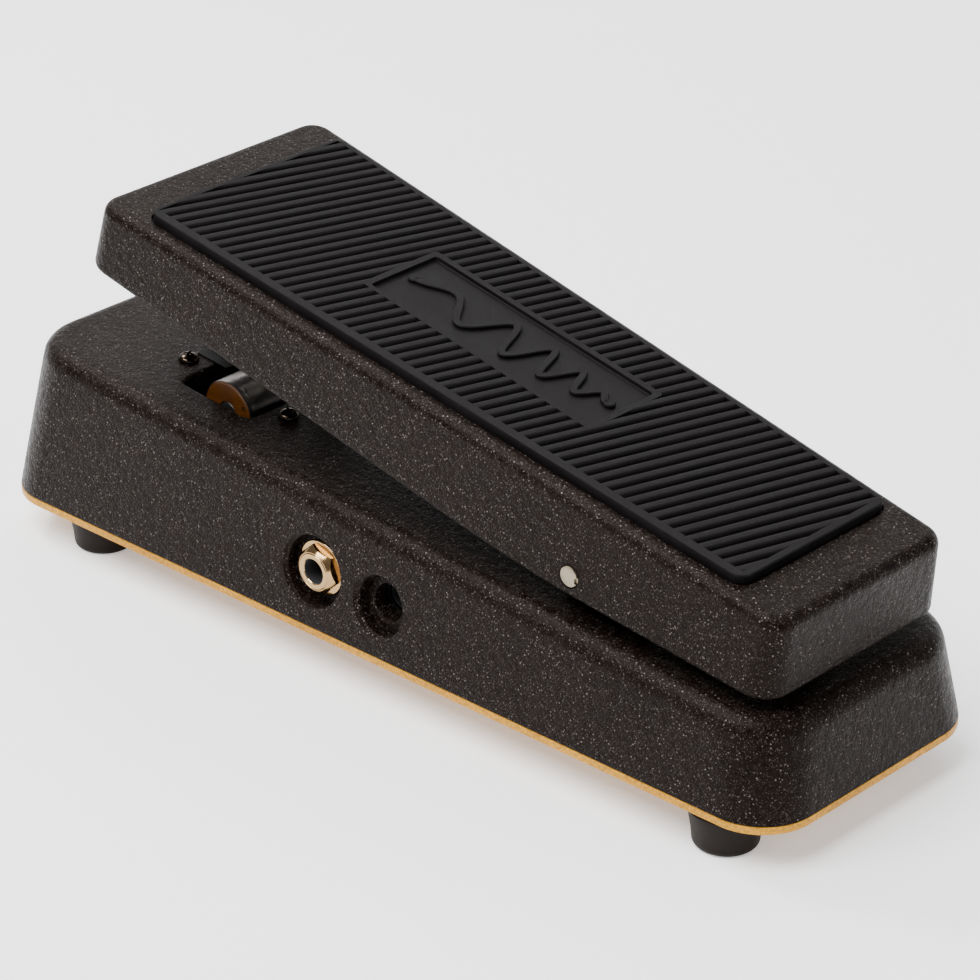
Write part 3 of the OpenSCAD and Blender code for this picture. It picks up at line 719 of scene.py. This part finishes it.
NCT, NLT, NWT = 12, 48, 8
to = outline(-TL, TL, TH, TRR, TAP, NCT, NLT, NWT)
tn = normals2(to)
Vt = np.c_[to, np.zeros(len(to))]
n3 = np.c_[tn, np.zeros(len(to))]
down = n3 * TD - np.array([0, 0, 1.0])
D = depth(to[:, 0])[:, None]
Vb = Vt + down * D
topf = fillet(Vt, -n3, down, 3.1, 9)
botf = fillet(Vb, -down, -n3, 1.5, 5)
loops = list(topf)
for t in (0.12, 0.25, 0.4, 0.55, 0.7, 0.85):
    loops.append(topf[-1] + (botf[0] - topf[-1]) * t)
loops += botf
# inner edge of the rim, inner wall, ceiling
inn = fillet(Vb - n3 * 4.0, n3, -down, 0.8, 3)
loops += inn
ti = outline(-TL + 4.4, TL - 4.4, TH - 4.4, 4.0, TAP, NCT, NLT, NWT)
Ci = np.c_[ti, np.full(len(ti), -5.5)]
ti2 = outline(-TL + 6.4, TL - 6.4, TH - 6.4, 3.0, TAP, NCT, NLT, NWT)
loops.append(Ci + np.array([0, 0, -1.6]))
loops.append(np.c_[outline(-TL + 5.0, TL - 5.0, TH - 5.0, 3.6, TAP, NCT, NLT, NWT), np.full(len(ti), -5.95)])
loops.append(np.c_[ti2, np.full(len(ti), -5.5)])
V, F = loft(loops, True, True)
tread = obj_from("treadle_casting", V, F, "cast", 40, ONT)
rc = outline(MT - 0.7, MH + 0.7, MHALF + 0.7, 4.2, TAP, 10)
cutter = prism("cut", rc, -1.0, 8, None, ONT)
hole = rev("cut", [(0, -50), (2.85, -50), (2.85, 50), (0, 50)], None, Matrix.Translation((PVX, 0, PVZ)) @ YAX, 64)
boolean(tread, [cutter, hole], "DIFFERENCE", 40)
place(tread, "treadle", ["treadle"])

# ribs and bosses inside the treadle
inside = []
for s in (-1, 1):
    prof = [(3.2, 24.5), (6.0, 24.5), (6.4, 24.9), (6.4, 29.9), (3.2, 29.9)]
    inside.append(rev("boss", prof, "cast", Matrix.Translation((PVX, 0, PVZ)) @ (YNEG if s < 0 else YAX), 48))
inside.append(block("rib", (90, -25.3, -19.5), (96, 25.3, -5.0), "cast", 0.6, ONT))
inside.append(block("rib", (-20, -28.5, -12), (-17, 28.5, -5.0), "cast", 0.6, ONT))
inside.append(rev("boss", [(0, -10), (5.9, -10), (6.5, -9.4), (6.9, -5.2), (0, -5.2)], "cast", ONT @ Matrix.Translation((-93.8, 0, 0)), 48))
for q in (-76, -52.6):
    inside.append(rev("boss", [(1.3, -8.5), (3.3, -8.5), (3.6, -8.2), (3.9, -5.2), (1.3, -5.2)], "cast", ONT @ Matrix.Translation((q, 4, 0)), 40))
ins = join("treadle_ribs", inside)
place(ins, "treadle")

# ------------------------------------------------------------------ rubber mat
RIBT = math.radians(14.2)
PITCHM = 3.42
MO = outline(MT, MH, MHALF, 3.2, TAP, 8)
BW = 2.3
PX0, PX1, PY0, PY1 = -41.5, 33.5, -11.0, 14.2
W0, W1 = -1.0, 2.1

# solid slab with eased upper edge
mn = np.c_[normals2(MO), np.zeros(len(MO))]
loops = [np.c_[MO, np.full(len(MO), W0)], np.c_[MO, np.full(len(MO), W1 - 0.45)]]
for i in range(1, 6):
    a = math.radians(90 * i / 5)
    loops.append(np.c_[MO, np.full(len(MO), W1 - 0.45 + 0.45 * math.sin(a))] - mn * 0.45 * (1 - math.cos(a)))
V, F = loft(loops)
slab = obj_from("mat_rubber", V, F, "mat", 40, ONT)


def clip_poly(P, n, c):
    """keep the part of convex polygon P where n.p <= c"""
    out = []
    for i in range(len(P)):
        a, b = P[i], P[(i + 1) % len(P)]
        da, db = n @ a - c, n @ b - c
        if da <= 0:
            out.append(a)
        if (da < 0 < db) or (db < 0 < da):
            t = da / (da - db)
            out.append(a + (b - a) * t)
    return out


# ribbed field: height over the groove floor as a function of distance across the ribs
rdir = np.array([math.sin(RIBT), math.cos(RIBT)])  # along a rib: to +y and to +x
rper = np.array([math.cos(RIBT), -math.sin(RIBT)])  # across the ribs
GD = 1.5   # groove depth


def rib_h(s):
    """0 at the rib top, -GD in the groove; s is the distance across in pitches"""
    f = abs(((s + 0.5) % 1.0) - 0.5) * PITCHM  # distance from rib centre, mm
    half = PITCHM / 2
    flat = 0.62
    r = 1.0
    if f <= flat:
        return -0.02 * (f / flat) ** 2
    e = half - 0.27
    if f >= e:
        return -GD
    t = (f - flat) / (e - flat)
    return -0.02 - (GD - 0.02) * (1 - math.sqrt(max(0.0, 1 - t ** 1.9))) if t < 1 else -GD


samp = np.array([0, 0.16, 0.24, 0.29, 0.33, 0.355, 0.375, 0.39, 0.40, 0.406, 0.45])
samp = np.concatenate([samp, 1 - samp[::-1]])
samp = np.unique(np.round(samp, 4))[:-1]


def field_region(name, poly):
    """cutter made of one long groove-shaped surface, lifted above the mat and limited to a convex outline"""
    P = np.array(poly)
    q = P @ rper
    k0, k1 = int(math.floor(q.min() / PITCHM)) - 1, int(math.ceil(q.max() / PITCHM)) + 1
    S = [k + s for k in range(k0, k1) for s in samp]
    L0, L1 = (P @ rdir).min() - 4, (P @ rdir).max() + 4
    V = []
    for s in S:
        h = W1 + rib_h(s) + 0.0
        a = rper * s * PITCHM + rdir * L0
        b = rper * s * PITCHM + rdir * L1
        V += [(a[0], a[1], h), (b[0], b[1], h), (a[0], a[1], 6.0), (b[0], b[1], 6.0)]
    F = []
    m = len(S)
    for i in range(m - 1):
        A, B = 4 * i, 4 * (i + 1)
        F += [(A, A + 1, B + 1, B), (A + 2, B + 2, B + 3, A + 3), (A, B, B + 2, A + 2), (A + 1, A + 3, B + 3, B + 1)]
    F += [(0, 2, 3, 1), (4 * (m - 1), 4 * (m - 1) + 1, 4 * (m - 1) + 3, 4 * (m - 1) + 2)]
    wavy = obj_from("cut", V, F, None, 40, ONT)
    lim = prism("lim", poly, -0.6, 5.0, None, ONT)
    boolean(wavy, [lim], "INTERSECT", 40)
    return wavy


# the panel: a raised frame round a sunken, smooth field with a plain relief motif
ip = np.array(round_rect(PX0 + 1.9, PX1 - 1.7, PY0 + 1.4, PY1 - 1.7, 0.8))
ipn = np.c_[normals2(ip), np.zeros(len(ip))]
loops = [np.c_[ip, np.full(len(ip), W1 - 1.1)] - ipn * 0.15, np.c_[ip, np.full(len(ip), W1 - 0.95)], np.c_[ip, np.full(len(ip), W1 - 0.2)],
         np.c_[ip, np.full(len(ip), W1 - 0.05)] + ipn * 0.07, np.c_[ip, np.full(len(ip), W1 + 0.05)] + ipn * 0.2, np.c_[ip, np.full(len(ip), W1 + 3)] + ipn * 0.2]
V, F = loft(loops)
boolean(slab, [obj_from("cut", V, F, None, 40, ONT)], "DIFFERENCE", 32)

hw = lambda u: MHALF - TAP * u
U0, U1 = MT + 1.3, MH - 1.9
fo = [(U1, -(hw(U1) - BW)), (U1, hw(U1) - 1.5), (U0, hw(U0) - 1.5), (U0, -(hw(U0) - BW))]
whole = field_region("cut", fo)
panel = prism("lim", round_rect(PX0, PX1, PY0, PY1, 1.2), -1.5, 8, None, ONT)
boolean(whole, [panel], "DIFFERENCE", 40)
boolean(slab, [whole], "DIFFERENCE", 32)

slab.name = "mat_ribbed"

relief = []


def ribbon(pts, w, h0, h1, bev=0.22):
    """flat-topped raised band along a path in the panel"""
    P = np.array(pts, float)
    t = np.gradient(P, axis=0)
    t /= np.linalg.norm(t, axis=1, keepdims=True)
    nn = np.c_[-t[:, 1], t[:, 0]]
    W = np.asarray(w, float).reshape(-1, 1) if np.ndim(w) else np.full((len(P), 1), w)
    sec = [(-1, 0, h0), (-1, 0, h1 - bev), (-1, bev, h1), (1, -bev, h1), (1, 0, h1 - bev), (1, 0, h0)]
    loops = []
    for i in range(len(P)):
        loops.append(np.array([[*(P[i] + nn[i] * (sg * W[i, 0] / 2 + off)), z] for sg, off, z in sec]))
    V, F = loft(loops)
    return obj_from("relief", V, F, "mat", 40, ONT)


zc = (PY0 + 1.4 + PY1 - 1.7) / 2
xs = np.linspace(-35.5, 27.5, 240)
ph = (xs + 35.5) / 63.0
env = np.sin(math.pi * np.clip(ph, 0, 1)) ** 0.55
yy = zc + 5.9 * env * np.sin(2 * math.pi * (1.4 * ph + 3.2 * ph ** 2.0))
relief.append(ribbon(np.c_[xs, yy], 1.9, W1 - 1.2, W1 - 0.12))
for k, (x, r) in enumerate(((-36.2, 1.5), (28.2, 1.5))):
    relief.append(rev("relief", [(0, W1 - 1.2), (r, W1 - 1.2), (r, W1 - 0.4), (r - 0.25, W1 - 0.12), (0, W1 - 0.12)], "mat", ONT @ Matrix.Translation((x, zc, 0)), 40))
rel = join("mat_relief", relief)
place(slab, "treadle", ["rubber_mat"])
place(rel, "treadle")

# ------------------------------------------------------------------ pivot shaft
prof = [(0, -33.3), (2.3, -33.3), (2.5, -33.2), (2.6, -33.0), (2.62, -29.0), (3.175, -28.8), (3.175, 28.8), (2.62, 29.0), (2.6, 33.0), (2.5, 33.2), (2.3, 33.3), (0, 33.3)]
sh = rev("pivot_shaft_pin", prof, "steel", Matrix.Translation((PVX, 0, PVZ)) @ YAX, 64, 30)
# tool marks on the near end: a shallow cropped nick
boolean(sh, [block("cut", (PVX + 1.85, -34.5, PVZ - 1.1), (PVX + 3.4, -32.8, PVZ + 0.4), None, 0)], "DIFFERENCE", 30)
place(sh, "treadle", ["pivot_shaft"])


# ------------------------------------------------------------------ jacks
def thread(r0, pitch, z0, z1, depth, seg=48):
    """a turned thread drawn as a helical ridge profile, open helicoid closed at both ends by the core"""
    n = int((z1 - z0) / pitch * seg)
    V, F = [], []
    cols = [(-0.5, -depth), (-0.12, 0.0), (0.12, 0.0), (0.5, -depth)]
    for i in range(n + 1):
        a = 2 * math.pi * i / seg
        zc_ = z0 + pitch * i / seg
        for dz, dr in cols:
            r = r0 + dr
            z = min(max(zc_ + dz * pitch, z0), z1)
            V.append((r * math.cos(a), r * math.sin(a), z))
    for i in range(n):
        for k in range(3):
            A, B = 4 * i + k, 4 * (i + 1) + k
            F.append((A, B, B + 1, A + 1))
    return V, F


def hex_nut(r, h, bore, face, drop, M4=None, mat="nickel", name="nut"):
    """hexagon nut whose corners run into a rounded, turned front; the front ends in a flat ring round the bore"""
    P = hexpts(r)
    V, F = loft([np.array([[x, y, 0] for x, y in P]), np.array([[x, y, h] for x, y in P])])
    o = obj_from(name, V, F, mat, 30)
    c = []
    for i in range(11):
        t = i / 10
        c.append((face + (r + 0.15 - face) * t, h - drop * (0.88 * t + 0.12 * t * t)))
    prof = [(0, -0.5), (r + 1, -0.5), (r + 1, c[-1][1])] + c[::-1] + [(0, h)]
    boolean(o, [rev("cut", prof, None, Matrix.Identity(4), 128)], "INTERSECT", 28)
    boolean(o, [rev("cut", [(0, -1), (bore, -1), (bore, h - 0.06), (bore + 0.06, h + 0.02), (bore + 0.06, h + 2), (0, h + 2)], None, Matrix.Identity(4), 64)], "DIFFERENCE", 28)
    if M4 is not None:
        A = Matrix(M4)
        A.translation *= MM
        o.data.transform(A)
    return o


for s, nm in ((-1, "near"), (1, "far")):
    ax = Matrix.Translation((JX, 0, JZ)) @ (YNEG if s < 0 else YAX)
    # ferrule with bore
    prof = [(3.25, 12.2), (4.65, 12.2), (4.65, 41.05), (4.5, 41.2), (4.2, 41.26), (3.7, 41.26), (3.4, 41.15), (3.25, 40.95)]
    fer = rev("jack_ferrule_" + nm, prof, "nickel", ax, 72, 30)
    V, F = thread(4.68, 0.8, 38.0, 40.9, 0.14)
    thr = obj_from("thr", V, F, "nickel", 60, ax)
    body = block("jack_body_" + nm, (JX - 8.3, 11.9, JZ - 8.3), (JX + 8.3, 34.6, JZ + 8.3), "blackpl", 0.7) if s > 0 else block(
        "jack_body_" + nm, (JX - 8.3, -34.6, JZ - 8.3), (JX + 8.3, -11.9, JZ + 8.3), "blackpl", 0.7)
    boolean(body, [cyl_cut(4.6, -50, 50, JX, JZ)], "DIFFERENCE", 40)
    fer2 = join("jack_ferrule_" + nm, [fer, thr])
    node = "output_jack" if s < 0 else "input_jack"
    # painted shade: a near-black sleeve over the inside of the ferrule bore and a near-black contact disc at its bottom
    # stand for the shade deep in the bore
    bore_shade_sleeve = rev("jack_bore_shade_" + nm, [(3.12, 12.6), (3.24, 12.6), (3.24, 40.95), (3.12, 40.9)], "painted_shade", ax, 48)
    place(bore_shade_sleeve, "base")
    tip = rev("jack_contact_" + nm, [(0, 12.3), (3.2, 12.3), (3.2, 12.7), (2.9, 13.0), (0, 13.0)], "painted_shade", ax, 48)
    place(tip, "base")
    # washer with a rolled rim
    pr = [(4.9, 37.95), (6.9, 37.95), (7.12, 38.08), (7.18, 38.3), (7.12, 38.5), (6.85, 38.68), (4.9, 38.72)]
    wsh = rev("jack_washer_" + nm, pr, "nickel", ax, 72, 40)
    nut = hex_nut(6.5, 2.4, 4.72, 4.95, 1.85, M4=ax @ Matrix.Translation((0, 0, 38.7)) @ Matrix.Rotation(math.radians(45 if s < 0 else 31), 4, "Z"), name="jack_nut_" + nm)
    place(fer2, "base", [node])
    place(body, "base")
    place(wsh, "base")
    place(nut, "base", [node + "_nut"])

# ------------------------------------------------------------------ direct current inlet seen through its hole
axd = Matrix.Translation((DX, 0, DZ)) @ YNEG
prof = [(3.1, 24.0), (4.45, 24.0), (4.45, 32.85), (4.3, 33.0), (3.4, 33.0), (3.1, 32.75)]
ring = rev("dc_collar", prof, "blackpl", axd, 64)
pin = rev("dc_pin", [(0, 22), (1.0, 22), (1.0, 31.2), (0.85, 31.7), (0.4, 32.0), (0, 32.0)], "nickel", axd, 32)
place(ring, "base")
place(pin, "base")

# ------------------------------------------------------------------ potentiometer
axp = Matrix.Translation((PX, 0, PZZ)) @ YNEG
wf = [(0, 12.6), (0, 12.6)]
face = rev("pot_face", [(0, 21.7), (7.95, 21.7), (8.1, 21.85), (8.1, 22.95), (7.9, 23.12), (7.6, 23.18), (3.1, 23.18), (2.95, 23.05), (2.95, 22.3), (0, 22.3)], "phenolic", axp, 96, 30)
can_p = [(7.7, 12.55), (8.25, 12.55), (8.38, 12.8), (8.38, 20.9), (8.3, 21.3), (8.38, 21.5), (8.38, 22.9), (8.28, 23.1), (8.18, 22.95), (8.16, 21.65), (7.7, 21.6)]
can = rev("pot_can_shell", can_p, "can", axp, 96, 30)
waf2 = rev("pot_wafer_rear", [(4.9, 10.65), (7.9, 10.65), (8.05, 10.8), (8.05, 12.3), (7.9, 12.46), (4.9, 12.46)], "phenolic", axp, 96, 30)
tabs = [rev("tab", [(0, 22.25), (2.65, 22.25), (2.85, 22.35), (2.85, 22.8), (2.6, 23.05), (1.3, 23.1), (1.1, 22.8), (0, 22.75)], "blackpl", axp, 64)]
for a in (-135, -45):
    c_, s_ = math.cos(math.radians(a)), math.sin(math.radians(a))
    Mx = axp @ Matrix.Rotation(math.radians(a), 4, "Z")
    tabs.append(block("tab", (7.3, -1.1, 22.95), (8.3, 1.1, 23.2), "can", 0.1, Mx))
for a in (-28, 0, 28):
    Mx = axp @ Matrix.Rotation(math.radians(a - 90 + 180), 4, "Z")
    tabs.append(rev("tab", [(0, 23.0), (0.7, 23.0), (0.7, 23.14), (0.5, 23.19), (0, 23.19)], "brass", Mx @ Matrix.Translation((0, -6.7, 0)), 24))
place(face, "base", ["pot_wafers"])
place(waf2, "base")
place(can, "base", ["pot_can"])
place(join("pot_tabs", tabs), "base")

# ------------------------------------------------------------------ bracket: its ear lies in a shallow seat and stands only a little proud
bme = frame["nodes"]["pot_bracket"].data.copy()
bme.name = "bracket_seated"
for v in bme.vertices:
    h = v.co.z * 1000 - (44.33 - 0.07496 * v.co.x * 1000)
    if h > 0.12:
        v.co.z -= (h - 0.12) * 0.72 / 1000
bracket = bpy.data.objects.new("bracket_seated", bme)
bpy.context.scene.collection.objects.link(bracket)
bme.materials.clear()
bme.materials.append(mat_rubber("bracket_black", (0.0012, 0.0009, 0.0008), (0.0020, 0.0015, 0.0013), 0.50))
bme.shade_smooth()
bme.set_sharp_from_angle(angle=math.radians(32))
place(bracket, "base", ["pot_bracket"])

# ------------------------------------------------------------------ bracket screws: pan heads with a cross recess
heads = []
for i, (x, y) in enumerate(((-83.0, -17.4), (-46.2, -17.9))):
    Mx = on_top(x, y) @ Matrix.Rotation(math.radians(25 + 40 * i), 4, "Z")
    pr = [(0, 0.0), (2.35, 0.0), (2.6, 0.12), (2.65, 0.4)]
    for k in range(1, 11):
        a = math.radians(90 * k / 10)
        pr.append((2.65 * math.cos(a * 0.999) if k < 10 else 0, 0.4 + 1.58 * math.sin(a)))
    for turn in (0, 2.5, 5.5, 8.5):
        h = rev("hd", pr, "black_screw", Mx @ Matrix.Rotation(math.radians(turn), 4, "Z"), 48, 60)
        cr = [block("cut", (-1.45, -0.34, 0.95), (1.45, 0.34, 3), None, 0, Mx @ Matrix.Rotation(math.radians(q + 1.3), 4, "Z")) for q in (0, 90)]
        boolean(h, cr, "DIFFERENCE", 50)
        if len(h.data.vertices) > 300:
            break
        bpy.data.objects.remove(h)
    heads.append(h)
    heads.append(rev("hd", [(0, -7.5), (1.45, -7.5), (1.45, 0.1), (0, 0.1)], "black_screw", Mx, 24))
heads = join("bracket_screw_pair", heads)
place(heads, "base", ["bracket_screws"])

# ------------------------------------------------------------------ footswitch: nut, threaded bushing, dished plunger
Mf = on_top(SWX, 0)
nutf = hex_nut(8.0, 2.25, 6.05, 6.9, 0.8, M4=Mf @ Matrix.Rotation(math.radians(9), 4, "Z"), mat="zinc", name="footswitch_nut")
bush = rev("fs_bush", [(3.98, -7), (5.82, -7), (5.82, 5.0), (5.55, 5.38), (4.3, 5.38), (3.98, 5.1)], "zinc", Mf, 64)
V, F = thread(5.97, 0.75, -6.0, 5.1, 0.2)
bush = join("footswitch_bushing", [bush, obj_from("thr", V, F, "zinc", 60, Mf)])
btn = rev("footswitch_plunger", [(0, -6), (3.9, -6), (3.9, 8.7), (3.75, 9.1), (3.4, 9.32), (2.9, 9.36), (1.6, 9.2), (0, 9.1)], "zinc", Mf, 64)
place(nutf, "base", ["footswitch_nut"])
# housing: its moulded neck ends inside the turned bushing
fsm = frame["nodes"]["footswitch"].data.copy()
fsm.name = "footswitch_housing"
Tf = Matrix(Mf)
Ti = Tf.inverted()
for v in fsm.vertices:
    q = Ti @ (v.co * 1000)
    r = math.hypot(q.x, q.y)
    if q.z > -4.79 and r < 6.3:
        if r > 5.0:
            q.x, q.y = q.x * 5.5 / r, q.y * 5.5 / r
        q.z = min(q.z, 0.5)
        v.co = (Tf @ q) / 1000
housing = bpy.data.objects.new("footswitch_housing", fsm)
bpy.context.scene.collection.objects.link(housing)
fsm.materials.clear()
fsm.materials.append(M["bluepl"])
fsm.shade_smooth()
fsm.set_sharp_from_angle(angle=math.radians(32))
place(housing, "base", ["footswitch"])
place(bush, "base")
place(btn, "button", ["footswitch_button"])

# ------------------------------------------------------------------ bumpers
bp = rev("heel_bumper_rubber", [(0, 0.05), (4.9, 0.05), (5.0, 0.3), (4.75, 3.9)] + [(3.15 + 1.6 * math.cos(math.radians(90 * i / 6)), 3.9 + 1.65 * math.sin(math.radians(90 * i / 6))) for i in range(1, 7)] + [(0, 5.55)], "foot",
         on_top(102.6, 0), 56)
place(bp, "base", ["heel_bumper"])
tp = rev("toe_pad_felt", [(0, -10.05), (5.3, -10.05), (5.45, -10.2), (5.45, -12.6), (5.2, -12.95), (0, -12.98)], "pad", ONT @ Matrix.Translation((-93.8, 0, 0)), 48)
place(tp, "treadle", ["toe_pad"])

# ------------------------------------------------------------------ the remaining CAD pieces keep their own shapes and take a surface
SLOTMAT = {"cast": "cast", "gold": "gold", "rubber": "mat", "foot_rubber": "foot", "steel": "steel", "zinc": "zinc", "black_screw": "black_screw",
           "nickel": "nickel", "can": "can", "phenolic": "phenolic", "brass": "brass", "nylon": "nylon", "black_plastic": "blackpl", "blue_plastic": "bluepl",
           "felt": "pad", "board": "board", "parts": "parts", "cell": "cell", "foam": "foam", "wire": "wire"}
for name, o in frame["nodes"].items():
    o.data.materials.clear()
    # the potentiometer bracket node takes the near-black painted-shade surface
    o.data.materials.append(M["painted_shade" if name == "pot_bracket" else SLOTMAT.get(SLOTOF.get(name), "blackpl")])
    o.data.shade_smooth()
    o.data.set_sharp_from_angle(angle=math.radians(32))

# ------------------------------------------------------------------ stage: paper floor, soft light, camera
me = bpy.data.meshes.new("floor_sheet")
bm = bmesh.new()
# a paper sweep: flat in front, curving up far behind
ny, nx = 60, 2
R, D0 = 0.9, 1.5
rows = []
for i in range(ny + 1):
    t = i / ny
    if t < 0.5:
        s = -2.6 + (D0 + 2.6) * (t / 0.5)
        rows.append((s, 0.0))
    else:
        a = math.radians(90 * (t - 0.5) / 0.5)
        rows.append((D0 + R * math.sin(a), R * (1 - math.cos(a))))
rows.append((D0 + R, 3.0))
az = math.radians(43.98)
fw = Vector((-math.sin(az), math.cos(az), 0))
rt = Vector((math.cos(az), math.sin(az), 0))
grid = [[bm.verts.new(fw * s + rt * w + Vector((0, 0, z))) for w in (-3.5, 3.5)] for s, z in rows]
for i in range(len(rows) - 1):
    bm.faces.new((grid[i][0], grid[i][1], grid[i + 1][1], grid[i + 1][0]))
bm.normal_update()
bm.to_mesh(me)
bm.free()
floor = bpy.data.objects.new("floor_sheet", me)
bpy.context.scene.collection.objects.link(floor)
me.shade_smooth()
fmk = NT("floor_paper", rough=0.75, spec=0.2)
fmk.color((0.93, 0.93, 0.935))
fmk.b.inputs["Emission Color"].default_value = (1, 1, 1, 1)
fmk.b.inputs["Emission Strength"].default_value = 0.45
me.materials.append(fmk.m)
floor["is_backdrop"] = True


def area(name, loc, target, size, power, color=(1, 1, 1)):
    ld = bpy.data.lights.new(name, "AREA")
    ld.shape = "RECTANGLE"
    ld.size, ld.size_y = size
    ld.energy = power
    ld.color = color
    o = bpy.data.objects.new(name, ld)
    bpy.context.scene.collection.objects.link(o)
    o.location = loc
    o.rotation_euler = (Vector(target) - Vector(loc)).to_track_quat("-Z", "Y").to_euler()
    o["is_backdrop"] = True
    return o


def cam_dir(azd, eld, d):
    a, e = math.radians(azd), math.radians(eld)
    return (math.sin(a) * math.cos(e) * d, -math.cos(a) * math.cos(e) * d, math.sin(e) * d)


area("key_soft", cam_dir(-10, 62, 1.5), (0, 0, 0.03), (1.0, 1.0), 46)
area("fill_right", cam_dir(110, 35, 1.7), (0, 0, 0.03), (1.2, 0.9), 8)
area("edge_left", cam_dir(-85, 50, 1.5), (0, 0, 0.03), (0.35, 0.35), 14)
area("back_top", cam_dir(215, 55, 1.6), (0, 0, 0.04), (1.2, 0.8), 11)

world = bpy.data.worlds.new("studio_air")
bpy.context.scene.world = world
world.use_nodes = True
world.node_tree.nodes["Background"].inputs["Color"].default_value = (1, 1, 1, 1)
world.node_tree.nodes["Background"].inputs["Strength"].default_value = 0.27

cam = bpy.data.cameras.new("shot")
cam.sensor_width = 36
cam.lens = 137.41
cam.clip_start = 0.05
cam.clip_end = 20
co = bpy.data.objects.new("shot", cam)
bpy.context.scene.collection.objects.link(co)
tgt = Vector((0.00497, 0, 0.03944))
bk = Vector(cam_dir(43.98, 27.96, 1.0))
co.location = tgt + bk * 0.89817
co.rotation_euler = bk.to_track_quat("Z", "Y").to_euler()
bpy.context.scene.camera = co
co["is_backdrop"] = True

lo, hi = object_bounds()
